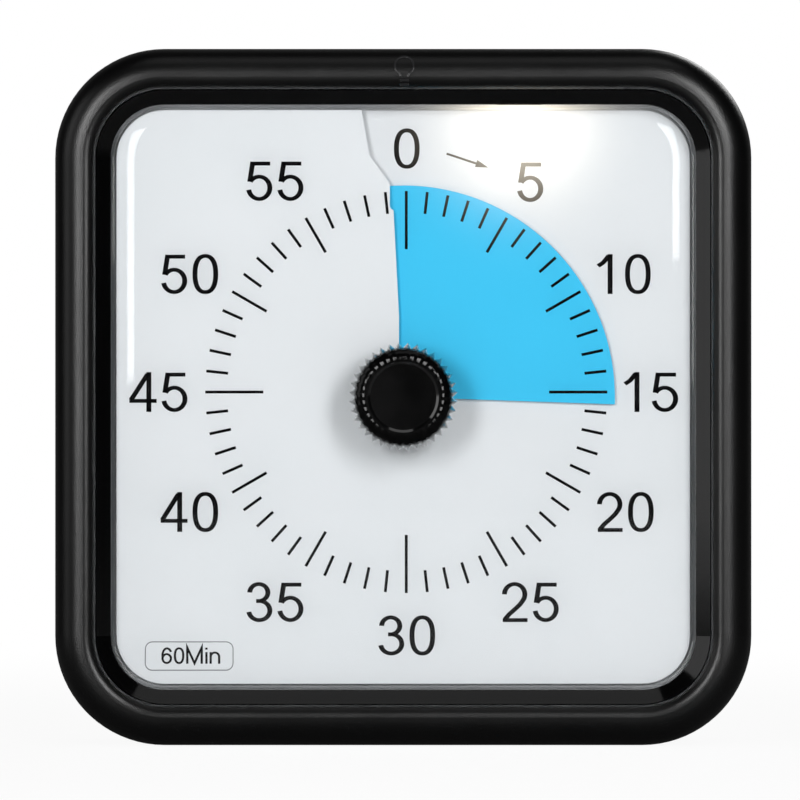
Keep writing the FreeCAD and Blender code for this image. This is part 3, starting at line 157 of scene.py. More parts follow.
# %% [markdown]
# The window is flat in its middle and bends back near its edge, and some figures reach
# into the bend. So each print is laid on the window's inside with a Shrinkwrap that pushes
# its points straight at the surface, and only then gets the thickness of the ink. The same
# three steps later lay the light symbol on the rounded rail.

# %% Lay a flat drawing on a surface
def lay_on(piece, surface, start, forward, lift, thickness):
    """Stand a flat drawing up at start, push it along Y onto a surface, and thicken it."""
    piece.rotation_euler = (math.radians(90), 0, 0)
    piece.location = start
    bpy.ops.object.transform_apply(location=True, rotation=True, scale=True)
    wrap = piece.modifiers.new("lay", "SHRINKWRAP")
    wrap.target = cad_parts[surface]
    wrap.wrap_method = "PROJECT"
    wrap.use_project_y = True
    wrap.use_negative_direction = forward
    wrap.use_positive_direction = not forward
    wrap.offset = lift
    bpy.ops.object.modifier_apply(modifier=wrap.name)
    wall = piece.modifiers.new("ink", "SOLIDIFY")
    wall.thickness = thickness
    wall.offset = 0
    bpy.ops.object.modifier_apply(modifier=wall.name)
    bpy.ops.object.mode_set(mode="EDIT")
    bpy.ops.mesh.select_all(action="SELECT")
    bpy.ops.mesh.normals_make_consistent(inside=False)
    bpy.ops.object.mode_set(mode="OBJECT")
    heights = [vertex.co.y / MM for vertex in piece.data.vertices]
    print(piece.name, "has", len(piece.data.polygons), "faces, Y from",
          round(min(heights), 3), "to", round(max(heights), 3), "mm")
    return piece


INK_THICKNESS = 0.03 * MM
INK_GAP = 0.03 * MM
INK_START = 2.0 * MM


def print_on_window(piece):
    """Lay a drawing, made round the print's middle, on the inside of the window."""
    start = print_middle + Vector((0, INK_START, 0))
    return lay_on(piece, "front_window", start, True, INK_GAP, INK_THICKNESS)


# %% [markdown]
# The minute ring has 60 marks, longer at each five minutes and longest at each quarter.
# One mark is a straight line between two radii, so a loop places all of them.

# %% Minute marks
MARK_RADIUS = 40.4 * MM
MARK_WIDTH = 0.58 * MM
MINUTE_MARK = 4.4 * MM
FIVE_MARK = 8.0 * MM
QUARTER_MARK = 11.7 * MM
MINUTES = 60


def mark_length(minute):
    """Length of the mark at a minute."""
    if minute % 15 == 0:
        return QUARTER_MARK
    return FIVE_MARK if minute % 5 == 0 else MINUTE_MARK


marks = []
for minute in range(MINUTES):
    turn = math.radians(360 * minute / MINUTES)
    inner = MARK_RADIUS - mark_length(minute)
    marks.append(stepped([
        (inner * math.sin(turn), inner * math.cos(turn)),
        (MARK_RADIUS * math.sin(turn), MARK_RADIUS * math.cos(turn))]))
minute_marks = print_on_window(strips("minute_marks", marks, MARK_WIDTH))

# %% [markdown]
# The figures could come from a font, but the one in Blender has a different character. A figure is
# only a few lines and bows, so each is drawn here round its own middle, 8 high and standing on 0, and
# a figure of another size is the same drawing scaled.

# %% Shapes of the figures
FIGURE_HEIGHT = 8.0
FIGURE_PITCH = 6.25
STROKE = 0.79
STROKE_SPREAD = 1.27
FIGURES = {
    "0": [bow(0, 4.0, 2.08, 3.63, 90, 450, squareness=2.35, steps=48)],
    "1": [[(0.68, 0), (0.68, 8.0)], [(-1.75, 5.62), (-0.7, 6.3), (0.42, 7.7)]],
    "2": [
        bow(0, 5.55, 2.05, 2.07, 180, -32) + [(1.05, 3.5), (0.1, 2.6), (-1.05, 1.6), (-1.9, 0.6)],
        [(-2.4, 0.38), (2.6, 0.38)]],
    "3": [
        bow(-0.1, 5.92, 1.82, 1.7, 180, -80), bow(0, 2.3, 2.12, 1.93, 85, -172),
        [(-0.65, 4.21), (0.35, 4.21)]],
    "4": [[(-2.4, 2.4), (0.85, 7.62)], [(-2.72, 2.22), (2.68, 2.22)], [(1.1, 0), (1.1, 8.0)]],
    "5": [
        [(-1.45, 7.5), (2.2, 7.5)], [(-1.3, 7.88), (-1.93, 3.85)],
        bow(-0.02, 2.63, 2.14, 2.25, 147, -170)],
    "6": [bow(0.05, 2.55, 2.1, 2.17, 90, 450, steps=36), bow(0.2, 4.05, 2.27, 3.57, 30, 190)],
}


def figures(text, middle, height):
    """Lines of a number whose middle lies at a place, in metres."""
    scale = height / FIGURE_HEIGHT
    lines = []
    for index, figure in enumerate(text):
        side = middle[0] + (index - (len(text) - 1) / 2) * FIGURE_PITCH * scale
        for stroke in FIGURES[figure]:
            lines.append(stepped([
                (side + x * scale, middle[1] + (y - FIGURE_HEIGHT / 2) * scale) for x, y in stroke]))
    return lines


# %% [markdown]
# The numbers stand round the ring at a given distance from it: a wide number stands further out at
# the sides than a narrow one, so that the gap to the marks looks even. The places are given from the
# print's middle.

# %% Numbers round the dial
NUMBER_HEIGHT = 8.0 * MM
NUMBER_PLACES = {
    "0": (0.1, 48.9), "5": (24.9, 42.2), "10": (43.4, 23.7), "15": (48.8, 0.0),
    "20": (44.0, -24.1), "25": (24.9, -42.2), "30": (0.1, -48.9), "35": (-26.4, -42.2),
    "40": (-43.5, -24.1), "45": (-49.7, 0.0), "50": (-43.5, 23.7), "55": (-26.4, 42.4),
}
number_lines = []
for text, (x, y) in NUMBER_PLACES.items():
    number_lines += figures(text, (x * MM, y * MM), NUMBER_HEIGHT)
drawn = strips("dial_numbers", number_lines, STROKE * MM, STROKE_SPREAD)
dial_numbers = print_on_window(drawn)

# %% [markdown]
# A slim arrow beside the 0 shows which way the disc is set. Its head is a circle with
# three corners, which is how Blender spells a triangle, stretched and turned to the shaft.

# %% Arrow that shows the setting direction
ARROW_START = (8.1 * MM, 47.9 * MM)
ARROW_TIP = (16.5 * MM, 45.1 * MM)
ARROW_SHAFT = 0.42 * MM
ARROW_HEAD_LENGTH = 2.6 * MM
ARROW_HEAD_WIDTH = 1.5 * MM
SHAFT_END = 0.8  # share of the head's length, from the tip, where the shaft ends
run = Vector((ARROW_TIP[0] - ARROW_START[0], ARROW_TIP[1] - ARROW_START[1], 0))
along = run.normalized()
tip = Vector((*ARROW_TIP, 0))
neck = tip - along * ARROW_HEAD_LENGTH * SHAFT_END
shaft = strips("start_arrow", [stepped([ARROW_START, (neck.x, neck.y)])], ARROW_SHAFT)
start_clean()
bpy.ops.mesh.primitive_circle_add(vertices=3, radius=1, fill_type="NGON")
head = bpy.context.active_object
# the unit triangle has its corners at 90, 210 and 330 degrees
UNIT_HEIGHT = 1.5
UNIT_WIDTH = math.sqrt(3)
head.scale = (ARROW_HEAD_WIDTH / UNIT_WIDTH, ARROW_HEAD_LENGTH / UNIT_HEIGHT, 1)
head.rotation_euler.z = math.atan2(along.y, along.x) - math.radians(90)
head.location = tip - along * ARROW_HEAD_LENGTH / UNIT_HEIGHT
bpy.ops.object.transform_apply(location=True, rotation=True, scale=True)
shaft.select_set(True)
bpy.context.view_layer.objects.active = shaft
bpy.ops.object.join()
start_arrow = print_on_window(bpy.context.active_object)

# %% [markdown]
# A small box in the corner says how long the dial runs. Its thin grey outline and its
# words are two prints, because they have two inks. The outline goes round four corners,
# each a quarter of a circle, in millimetres from the print's middle.

# %% Outline of the corner box
BOX_MIDDLE = (-43.6, -53.0)
BOX_WIDTH = 17.6
BOX_HEIGHT = 5.6
BOX_CORNER = 1.4
BOX_LINE = 0.2 * MM
half_width = BOX_WIDTH / 2 - BOX_CORNER
half_height = BOX_HEIGHT / 2 - BOX_CORNER
corner_signs = [(1, 1), (-1, 1), (-1, -1), (1, -1)]
box_line = []
for index, (side, rise) in enumerate(corner_signs):
    middle = (BOX_MIDDLE[0] + side * half_width, BOX_MIDDLE[1] + rise * half_height)
    box_line += bow(*middle, BOX_CORNER, BOX_CORNER, 90 * index, 90 * index + 90, steps=8)
box_line = stepped([(x * MM, y * MM) for x, y in box_line + box_line[:1]])
corner_box = print_on_window(strips("corner_box", [box_line], BOX_LINE))

# %% [markdown]
# The letters are drawn as the figures are, from a few lines and one bow, standing on 0
# and then lifted to their base line. The 60 is the dial's own two figures made small.

# %% Words in the corner box
WORD_HEIGHT = 3.2
SMALL_LETTER = 2.3
WORD_STROKE = 0.4 * MM
WORD_SPREAD = 1.15
WORD_BASE = -54.55
letter_m = [(-44.0, 0), (-44.0, WORD_HEIGHT), (-42.55, 0.1), (-41.1, WORD_HEIGHT), (-41.1, 0)]
letter_i = [(-40.15, 0), (-40.15, SMALL_LETTER)]
dot_of_i = [(-40.15, 2.8), (-40.15, WORD_HEIGHT)]
stem_of_n = [(-39.3, 0), (-39.3, SMALL_LETTER)]
arch_of_n = bow(-38.45, 1.35, 0.85, 0.85, 165, 0) + [(-37.6, 0)]
words = [
    stepped([(x * MM, (y + WORD_BASE) * MM) for x, y in letter])
    for letter in (letter_m, letter_i, dot_of_i, stem_of_n, arch_of_n)]
SIXTY_MIDDLE = (-46.9 * MM, (WORD_BASE + WORD_HEIGHT / 2) * MM)
words += figures("60", SIXTY_MIDDLE, WORD_HEIGHT * MM)
box_words = print_on_window(strips("box_words", words, WORD_STROKE, WORD_SPREAD))

# %% [markdown]
# The light symbol on the top rail marks the button behind it. On the real case it is part
# of the moulding: fine raised lines in the same black, seen only by their glints. The lines
# are the same strips, laid on the rail from the front, with a bevel so that they glint.

# %% Light symbol on the top rail
SYMBOL_MIDDLE = Vector((0.2 * MM, 0, 136.4 * MM))
SYMBOL_LINE = 0.42 * MM
SYMBOL_PROUD = 0.3 * MM
SYMBOL_STEP = 0.25 * MM
SYMBOL_START = 1.0 * MM
SYMBOL_ROUNDING = 0.06 * MM
BULB_RADIUS = 1.85
BULB_FIRST, BULB_LAST = -58, 238
NECK_HALF = 0.75
NECK_LOW = -2.3
BASE_HALF = 0.95
BASE_LEVELS = (-2.95, -3.75)
housing_low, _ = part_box("front_housing")
bulb = bow(0, 0, BULB_RADIUS, BULB_RADIUS, BULB_FIRST, BULB_LAST, steps=32)
symbol_lines = [[(NECK_HALF, NECK_LOW)] + bulb + [(-NECK_HALF, NECK_LOW)]]
symbol_lines += [[(-BASE_HALF, level), (BASE_HALF, level)] for level in BASE_LEVELS]
symbol_lines = [
    stepped([(x * MM, y * MM) for x, y in line], SYMBOL_STEP) for line in symbol_lines]
drawn = strips("light_symbol", symbol_lines, SYMBOL_LINE)
start = SYMBOL_MIDDLE + Vector((0, housing_low.y - SYMBOL_START, 0))
light_symbol = lay_on(drawn, "front_housing", start, False, 0, SYMBOL_PROUD)
rounding = light_symbol.modifiers.new("rounding", "BEVEL")
rounding.width = SYMBOL_ROUNDING
rounding.segments = 2
rounding.limit_method = "ANGLE"
bpy.ops.object.modifier_apply(modifier=rounding.name)

# %% [markdown]
# Now the finishes. The same few effects come back in most of them, so each is a node
# group: a fine grain, as spark erosion leaves in a mould, broad patches from handling, and
# brush lines on metal. The groups read Object coordinates, so their patterns stay put on
# a piece that moves, and they give only values that vary over the surface.

# %% Helpers for nodes
# the Mix node has sockets of the same name for numbers and colours, so these go by place
MIX_MASK, MIX_FIRST, MIX_SECOND = 0, 6, 7
MIX_COLOUR = 2


def link(tree, source, target):
    """Wire a socket, or set a plain value, on another node's socket."""
    if isinstance(source, (int, float, tuple)):
        target.default_value = source
    else:
        tree.links.new(source, target)


def calculate(tree, operation, *values):
    """Math node on sockets or numbers."""
    node = tree.nodes.new("ShaderNodeMath")
    node.operation = operation
    for value, socket in zip(values, node.inputs):
        link(tree, value, socket)
    return node.outputs[0]


def rescale(tree, value, low, high, new_low, new_high, smooth=False):
    """Map a value from one range to another, clamped at both ends."""
    node = tree.nodes.new("ShaderNodeMapRange")
    node.interpolation_type = "SMOOTHSTEP" if smooth else "LINEAR"
    link(tree, value, node.inputs["Value"])
    ranges = {"From Min": low, "From Max": high, "To Min": new_low, "To Max": new_high}
    for name, number in ranges.items():
        link(tree, number, node.inputs[name])
    return node.outputs["Result"]


def blend_colours(tree, mask, first, second):
    """Colour that goes from first to second as the mask goes from 0 to 1."""
    node = tree.nodes.new("ShaderNodeMix")
    node.data_type = "RGBA"
    link(tree, mask, node.inputs[MIX_MASK])
    link(tree, (*first, 1) if isinstance(first, tuple) else first, node.inputs[MIX_FIRST])
    link(tree, (*second, 1) if isinstance(second, tuple) else second, node.inputs[MIX_SECOND])
    return node.outputs[MIX_COLOUR]


def noise(tree, vector, scale, detail=2.0):
    """Value of a noise texture on a vector."""
    node = tree.nodes.new("ShaderNodeTexNoise")
    node.inputs["Detail"].default_value = detail
    link(tree, vector, node.inputs["Vector"])
    link(tree, scale, node.inputs["Scale"])
    return node.outputs[0]


def new_group(name, inputs, outputs):
    """Empty shader group with number inputs and value outputs."""
    group = bpy.data.node_groups.new(name, "ShaderNodeTree")
    for label, number in inputs.items():
        socket = group.interface.new_socket(
            name=label, in_out="INPUT", socket_type="NodeSocketFloat")
        socket.default_value = number
    for label, kind in outputs.items():
        group.interface.new_socket(name=label, in_out="OUTPUT", socket_type=kind)
    entry = group.nodes.new("NodeGroupInput")
    result = group.nodes.new("NodeGroupOutput")
    place = group.nodes.new("ShaderNodeTexCoord")
    return group, entry, result, place.outputs["Object"]


# %% [markdown]
# Spark erosion leaves fine pits in a mould, and the plastic copies them. A Voronoi texture
# gives the pits and a finer noise breaks them up. The same noise is also put out as
# flecks, because a rough spot looks a little lighter or darker than the next one.

# %% Group for mould grain
SPECK_SCALE = 1.7
SPECK_RANGE = (0.35, 0.65)
PIT_SHARE = 0.6
grain_group, entry, result, place = new_group(
    "mould_grain", {"Grain size": 0.4}, {"Height": "NodeSocketFloat", "Fleck": "NodeSocketFloat"})
per_metre = calculate(grain_group, "DIVIDE", 1 / MM, entry.outputs["Grain size"])
pits = grain_group.nodes.new("ShaderNodeTexVoronoi")
link(grain_group, place, pits.inputs["Vector"])
link(grain_group, per_metre, pits.inputs["Scale"])
finer = calculate(grain_group, "MULTIPLY", per_metre, SPECK_SCALE)
specks = noise(grain_group, place, finer, detail=3.0)
shallow = calculate(grain_group, "MULTIPLY", pits.outputs["Distance"], PIT_SHARE)
height = calculate(grain_group, "ADD", shallow, specks)
link(grain_group, height, result.inputs["Height"])
link(grain_group, rescale(grain_group, specks, *SPECK_RANGE, 0, 1), result.inputs["Fleck"])
print("group", grain_group.name)

# %% [markdown]
# Hands leave broad patches where a plastic is a little duller or shinier. They have no
# edge and no pattern, so one soft noise gives them, its middle stretched from 0 to 1.

# %% Group for patches from handling
PATCH_RANGE = (0.3, 0.7)
patch_group, entry, result, place = new_group(
    "handling", {"Patch size": 18.0}, {"Patch": "NodeSocketFloat"})
per_metre = calculate(patch_group, "DIVIDE", 1 / MM, entry.outputs["Patch size"])
broad = noise(patch_group, place, per_metre, detail=4.0)
patches = rescale(patch_group, broad, *PATCH_RANGE, 0, 1, smooth=True)
link(patch_group, patches, result.inputs["Patch"])
print("group", patch_group.name)

# %% [markdown]
# Stamped sheet and drawn cans carry fine lines in one direction. A Mapping node shrinks X
# before the noise reads it, so each spot of the noise is drawn out into a line along X.

# %% Group for brush lines
LINE_STRETCH = 0.06
LINE_RANGE = (0.3, 0.7)
brush_group, entry, result, place = new_group(
    "brushed", {"Line size": 0.15}, {"Line": "NodeSocketFloat"})
stretch = brush_group.nodes.new("ShaderNodeMapping")
stretch.inputs["Scale"].default_value = (LINE_STRETCH, 1, 1)
link(brush_group, place, stretch.inputs["Vector"])
per_metre = calculate(brush_group, "DIVIDE", 1 / MM, entry.outputs["Line size"])
lines = noise(brush_group, stretch.outputs["Vector"], per_metre, detail=3.0)
link(brush_group, rescale(brush_group, lines, *LINE_RANGE, 0, 1), result.inputs["Line"])
print("group", brush_group.name)

# %% [markdown]
# A finish starts from the Principled shader. What is the same all over is set on the
# shader itself, and what varies comes from the groups: handling patches shift the
# roughness, the grain tints the colour a little and bends the normal through a Bump node.

# %% Recipes for plastic and metal
GRAIN_DEPTH = 0.25  # of the grain's size
METAL_SHADE = 0.8
LINE_DEPTH = 0.1  # of the line's size
LINE_BUMP = 0.15


def use_group(tree, group, **values):
    """Place a group in a material, with its own numbers."""
    node = tree.nodes.new("ShaderNodeGroup")
    node.node_tree = group
    for name, number in values.items():
        node.inputs[name.replace("_", " ")].default_value = number
    return node


def new_finish(name, **constants):
    """Material with a Principled shader whose plain sockets are set."""
    material = bpy.data.materials.new(name)
    material.use_nodes = True
    tree = material.node_tree
    shader = tree.nodes["Principled BSDF"]
    for label, number in constants.items():
        shader.inputs[label.replace("_", " ")].default_value = number
    return material, tree, shader


def bump(tree, shader, height, strength, distance):
    """Bend the normal by a height."""
    node = tree.nodes.new("ShaderNodeBump")
    node.inputs["Strength"].default_value = strength
    node.inputs["Distance"].default_value = distance
    link(tree, height, node.inputs["Height"])
    link(tree, node.outputs["Normal"], shader.inputs["Normal"])


def plastic(name, colour, roughness, grain_size=0.4, grain=0.1, tint=0.12,
            patch_size=18.0, vary=0.06, **constants):
    """Moulded plastic: grain in the normal and colour, handling patches in the roughness."""
    material, tree, shader = new_finish(name, **constants)
    texture = use_group(tree, grain_group, Grain_size=grain_size)
    patches = use_group(tree, patch_group, Patch_size=patch_size)
    darker = tuple(part * (1 - tint) for part in colour)
    lighter = tuple(min(1.0, part * (1 + tint)) for part in colour)
    flecked = blend_colours(tree, texture.outputs["Fleck"], darker, lighter)
    link(tree, flecked, shader.inputs["Base Color"])
    gloss = rescale(tree, patches.outputs["Patch"], 0, 1, roughness - vary, roughness + vary)
    link(tree, gloss, shader.inputs["Roughness"])
    bump(tree, shader, texture.outputs["Height"], grain, grain_size * GRAIN_DEPTH * MM)
    return material


def metal(name, colour, roughness, line_size=0.15, vary=0.08):
    """Drawn or stamped metal with faint lines."""
    material, tree, shader = new_finish(name, Metallic=1.0)
    lines = use_group(tree, brush_group, Line_size=line_size)
    darker = tuple(part * METAL_SHADE for part in colour)
    lined = blend_colours(tree, lines.outputs["Line"], darker, colour)
    link(tree, lined, shader.inputs["Base Color"])
    gloss = rescale(tree, lines.outputs["Line"], 0, 1, roughness - vary, roughness + vary)
    link(tree, gloss, shader.inputs["Roughness"])
    bump(tree, shader, lines.outputs["Line"], LINE_BUMP, line_size * LINE_DEPTH * MM)
    return material


# %% [markdown]
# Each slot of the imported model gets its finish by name. The case is a satin black with a
# fine grain, and the bezel ring is the same plastic out of a polished mould. Dial and disc
# are printed sheets, dull and nearly even, so their grain hardly shows.

# %% Plain finishes
finishes = {
    "case_black": plastic(
        "case_black", (0.0011, 0.0011, 0.0012), roughness=0.3, grain_size=0.3, grain=0.3,
        tint=0.3, vary=0.02),
    "gloss_black": plastic(
        "gloss_black", (0.001, 0.001, 0.0011), roughness=0.09, grain_size=0.9, grain=0.01,
        tint=0.2, patch_size=12.0, vary=0.02),
    "dial_white": plastic(
        "dial_white", (0.735, 0.762, 0.782), roughness=0.55, grain_size=0.3, grain=0.05,
        tint=0.012, patch_size=30.0, vary=0.05, Specular_IOR_Level=0.1),
    "disc_blue": plastic(
        "disc_blue", (0.046, 0.53, 0.85), roughness=0.5, grain_size=0.3, grain=0.05,
        tint=0.02, patch_size=30.0, vary=0.05, Specular_IOR_Level=0.1),
    "carrier_grey": plastic(
        "carrier_grey", (0.6, 0.62, 0.64), roughness=0.5, grain_size=0.5, grain=0.1, tint=0.03),
    "hub_white": plastic(
        "hub_white", (0.82, 0.81, 0.76), roughness=0.4, grain_size=0.4, grain=0.08, tint=0.03),
    "movement_shell": plastic(
        "movement_shell", (0.03, 0.03, 0.034), roughness=0.5, grain_size=0.6, grain=0.25,
        tint=0.15),
    "part_black": plastic(
        "part_black", (0.012, 0.012, 0.013), roughness=0.4, grain_size=0.3, grain=0.2, tint=0.2),
    "steel": metal("steel", (0.56, 0.56, 0.57), roughness=0.32),
    "spring_contact": metal("spring_contact", (0.72, 0.7, 0.66), roughness=0.24),
    "crystal_can": metal("crystal_can", (0.68, 0.68, 0.68), roughness=0.26),
    "sounder_brass": metal("sounder_brass", (0.72, 0.52, 0.22), roughness=0.3),
}
print(len(finishes), "plain finishes")

# %% [markdown]
# The night light shines down through the edge of the window, and the warm pool of light that it
# throws over dial, disc and print alike is painted: it is an emission of the window, a painted glow
# that is strongest under the lamp and falls off like a bell curve.

# %% Group for the painted glow of the night light
PAINTED_GLOW_REACH = 12.5 * MM
PAINTED_GLOW_STRENGTH = 0.38
PAINTED_GLOW_DROP = 4.5 * MM
PAINTED_GLOW_COLOUR = (1.0, 0.9, 0.74)
BLACK = (0.0, 0.0, 0.0)
painted_glow_middle = Vector(((lamp_low.x + lamp_high.x) / 2, window_low.y, lamp_low.z - PAINTED_GLOW_DROP))
painted_glow_group, entry, result, place = new_group(
    "painted_lamp_glow", {"Reach": PAINTED_GLOW_REACH, "Strength": PAINTED_GLOW_STRENGTH}, {"Light": "NodeSocketColor"})
flat_place = painted_glow_group.nodes.new("ShaderNodeVectorMath")
flat_place.operation = "SUBTRACT"
flat_place.inputs[1].default_value = painted_glow_middle
link(painted_glow_group, place, flat_place.inputs[0])
upright = painted_glow_group.nodes.new("ShaderNodeVectorMath")
upright.operation = "MULTIPLY"
upright.inputs[1].default_value = (1, 0, 1)
link(painted_glow_group, flat_place.outputs[0], upright.inputs[0])
span = painted_glow_group.nodes.new("ShaderNodeVectorMath")
span.operation = "LENGTH"
link(painted_glow_group, upright.outputs[0], span.inputs[0])
share = calculate(painted_glow_group, "DIVIDE", span.outputs["Value"], entry.outputs["Reach"])
squared = calculate(painted_glow_group, "MULTIPLY", share, share)
fall = calculate(painted_glow_group, "EXPONENT", calculate(painted_glow_group, "MULTIPLY", squared, -1.0))
level = calculate(painted_glow_group, "MULTIPLY", fall, entry.outputs["Strength"])
light = blend_colours(painted_glow_group, level, BLACK, PAINTED_GLOW_COLOUR)
link(painted_glow_group, light, result.inputs["Light"])
print("haze middle in mm:", [round(length / MM, 1) for length in painted_glow_middle])

# %% [markdown]
# The window itself is clear, with smears that tint it by a hair, and a low Specular Tint
# dims its reflections so that they don't cover the dial. Glass would also throw a black
# shadow in a path tracer, so for shadow rays and for light that has already bounced off a
# matt surface the window counts as transparent.

# %% Clear window
WINDOW_TINT = (0.3, 0.3, 0.3, 1.0)
SMEARED = (0.97, 0.98, 0.985)
WIPED = (0.99, 0.995, 1.0)
clear_window, tree, shader = new_finish(
    "clear_window", Transmission_Weight=1.0, Roughness=0.02, IOR=1.49,
    Specular_Tint=WINDOW_TINT, Emission_Strength=1.0)
# painted light: the window's emission paints the night lamp's warm glow over what lies behind it
painted_glow = use_group(tree, painted_glow_group)
link(tree, painted_glow.outputs["Light"], shader.inputs["Emission Color"])
smears = use_group(tree, patch_group, Patch_size=25.0)
glass_colour = blend_colours(tree, smears.outputs["Patch"], SMEARED, WIPED)
link(tree, glass_colour, shader.inputs["Base Color"])
path = tree.nodes.new("ShaderNodeLightPath")
open_way = tree.nodes.new("ShaderNodeBsdfTransparent")
choice = tree.nodes.new("ShaderNodeMixShader")
passing = calculate(tree, "MAXIMUM", path.outputs["Is Shadow Ray"], path.outputs["Is Diffuse Ray"])
link(tree, passing, choice.inputs["Fac"])
link(tree, shader.outputs["BSDF"], choice.inputs[1])
link(tree, open_way.outputs["BSDF"], choice.inputs[2])
link(tree, choice.outputs["Shader"], tree.nodes["Material Output"].inputs["Surface"])
finishes["clear_window"] = clear_window
print("finish", clear_window.name)

# %% [markdown]
# A cell's jacket is printed in two plain bands and leaves the steel ends bare, so its
# colour follows the distance along the cell. The two cells lie in opposite directions, so
# that distance starts at whichever end is the positive one.

# %% Jackets of the cells
CAP_EDGE = (1.9 * MM, 2.0 * MM)
BAND_EDGE = (11.9 * MM, 12.0 * MM)
BASE_EDGE = (0.6 * MM, 0.5 * MM)
JACKET_MAIN = (0.02, 0.03, 0.045)
JACKET_BAND = (0.42, 0.2, 0.07)
JACKET_GLOSS = (0.22, 0.36)
BARE_STEEL = (0.6, 0.6, 0.6)
FLECK_COLOUR = (1.0, 1.0, 1.0)
FLECK_SHARE = 0.06


def cell_finish(name, node, points_right):
    """Two plain bands and bare steel ends along X."""
    low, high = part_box(node)
    material, tree, shader = new_finish(name)
    place = tree.nodes.new("ShaderNodeTexCoord").outputs["Object"]
    parts = tree.nodes.new("ShaderNodeSeparateXYZ")
    link(tree, place, parts.inputs[0])
    positive = high.x if points_right else low.x
    signed = calculate(tree, "SUBTRACT", parts.outputs["X"], positive)
    reach = calculate(tree, "ABSOLUTE", signed)
    length = high.x - low.x
    band = rescale(tree, reach, *BAND_EDGE, 1, 0)
    front = rescale(tree, reach, *CAP_EDGE, 1, 0)
    back = rescale(tree, reach, length - BASE_EDGE[0], length - BASE_EDGE[1], 0, 1)
    bare = calculate(tree, "MAXIMUM", front, back)
    specks = use_group(tree, grain_group, Grain_size=0.5)
    jacket = blend_colours(tree, band, JACKET_MAIN, JACKET_BAND)
    faint = calculate(tree, "MULTIPLY", specks.outputs["Fleck"], FLECK_SHARE)
    marked = blend_colours(tree, faint, jacket, FLECK_COLOUR)
    link(tree, blend_colours(tree, bare, marked, BARE_STEEL), shader.inputs["Base Color"])
    link(tree, bare, shader.inputs["Metallic"])
    patches = use_group(tree, patch_group, Patch_size=9.0)
    gloss = rescale(tree, patches.outputs["Patch"], 0, 1, *JACKET_GLOSS)
    link(tree, gloss, shader.inputs["Roughness"])
    bump(tree, shader, specks.outputs["Height"], strength=0.05, distance=0.05 * MM)
    return material


own_finishes = {
    "cell_upper": cell_finish("jacket_upper", "cell_upper", True),
    "cell_lower": cell_finish("jacket_lower", "cell_lower", False),
}
print("finishes for", ", ".join(own_finishes))

# %% [markdown]
# The circuit boards have a green mask with paler tracks under it. A Voronoi texture that
# measures distance in squares has straight ridges, which pass for tracks at this size.

# %% Circuit boards
TRACK_SCALE = 0.35 / MM
TRACK_EDGE = (0.42, 0.47)
MASK_GREEN = (0.012, 0.12, 0.045)
TRACK_GREEN = (0.04, 0.26, 0.11)
BOARD_GLOSS = (0.28, 0.4)
board_green, tree, shader = new_finish("board_green")
tracks = tree.nodes.new("ShaderNodeTexVoronoi")
tracks.distance = "CHEBYCHEV"
place = tree.nodes.new("ShaderNodeTexCoord").outputs["Object"]
link(tree, place, tracks.inputs["Vector"])
tracks.inputs["Scale"].default_value = TRACK_SCALE
ridge = rescale(tree, tracks.outputs["Distance"], *TRACK_EDGE, 0, 1)
link(tree, blend_colours(tree, ridge, MASK_GREEN, TRACK_GREEN), shader.inputs["Base Color"])
specks = use_group(tree, grain_group, Grain_size=0.3)
gloss = rescale(tree, specks.outputs["Fleck"], 0, 1, *BOARD_GLOSS)
link(tree, gloss, shader.inputs["Roughness"])
bump(tree, shader, ridge, strength=0.4, distance=0.05 * MM)
finishes["board_green"] = board_green
print("finish", board_green.name)

# %% [markdown]
# The night lamp is a small chip under a yellow layer, which glows warm and a little
# unevenly. The same patches that dull a plastic do for the unevenness.

# %% Night lamp
GLOW_DEEP = (1.0, 0.78, 0.45)
GLOW_PALE = (1.0, 0.9, 0.7)
lamp_white, tree, shader = new_finish("lamp_white", Roughness=0.4, Emission_Strength=1.0)
patches = use_group(tree, patch_group, Patch_size=2.0)
glow = blend_colours(tree, patches.outputs["Patch"], GLOW_DEEP, GLOW_PALE)
link(tree, glow, shader.inputs["Emission Color"])
link(tree, glow, shader.inputs["Base Color"])
finishes["lamp_white"] = lamp_white
print("finish", lamp_white.name)

# %% [markdown]
# The knob is the same black as the bezel ring, but its teeth throw bright sparks, so it gets a coat
# on top. The symbol is coloured a little lighter than the rail that it stands on, a painted glint,
# since the real one is the same black. The inks are dull, so that they don't shine through the
# window.

# %% Knob, symbol and inks
own_finishes["timer_knob"] = plastic(
    "knob_black", (0.001, 0.001, 0.0011), roughness=0.13, grain_size=0.9, grain=0.01,
    tint=0.2, patch_size=12.0, vary=0.03,
    Specular_IOR_Level=1.0, Coat_Weight=1.0, Coat_Roughness=0.08)
# painted glint: lighter than the real black, so that the symbol's lines show as their glints would
symbol_painted_glint = plastic(
    "symbol_painted_glint", (0.012, 0.012, 0.013), roughness=0.3, grain_size=0.3, grain=0.05, tint=0.2)
ink_black = plastic(
    "ink_black", (0.001, 0.001, 0.0013), roughness=0.6, grain_size=0.25, grain=0.05,
    tint=0.3, Specular_IOR_Level=0.05)
ink_grey = plastic(
    "ink_grey", (0.2, 0.21, 0.22), roughness=0.6, grain_size=0.25, grain=0.05,
    tint=0.05, Specular_IOR_Level=0.05)
print("own finishes:", ", ".join(own_finishes))

# %% [markdown]
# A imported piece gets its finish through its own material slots, whose names the record
# gave, so one loop dresses them all. Each new piece then gets its finish and the body that
# it moves with: all of the print and the symbol ride on the housing. The broad light of
# the photograph leaves no shadow of the print on the dial, so the print casts none.

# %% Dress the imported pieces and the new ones
for name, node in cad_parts.items():
    for slot in node.material_slots:
        slot.material = own_finishes.get(name) or finishes[slot.name.split(".")[0]]
print("dressed", len(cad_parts), "packed pieces")

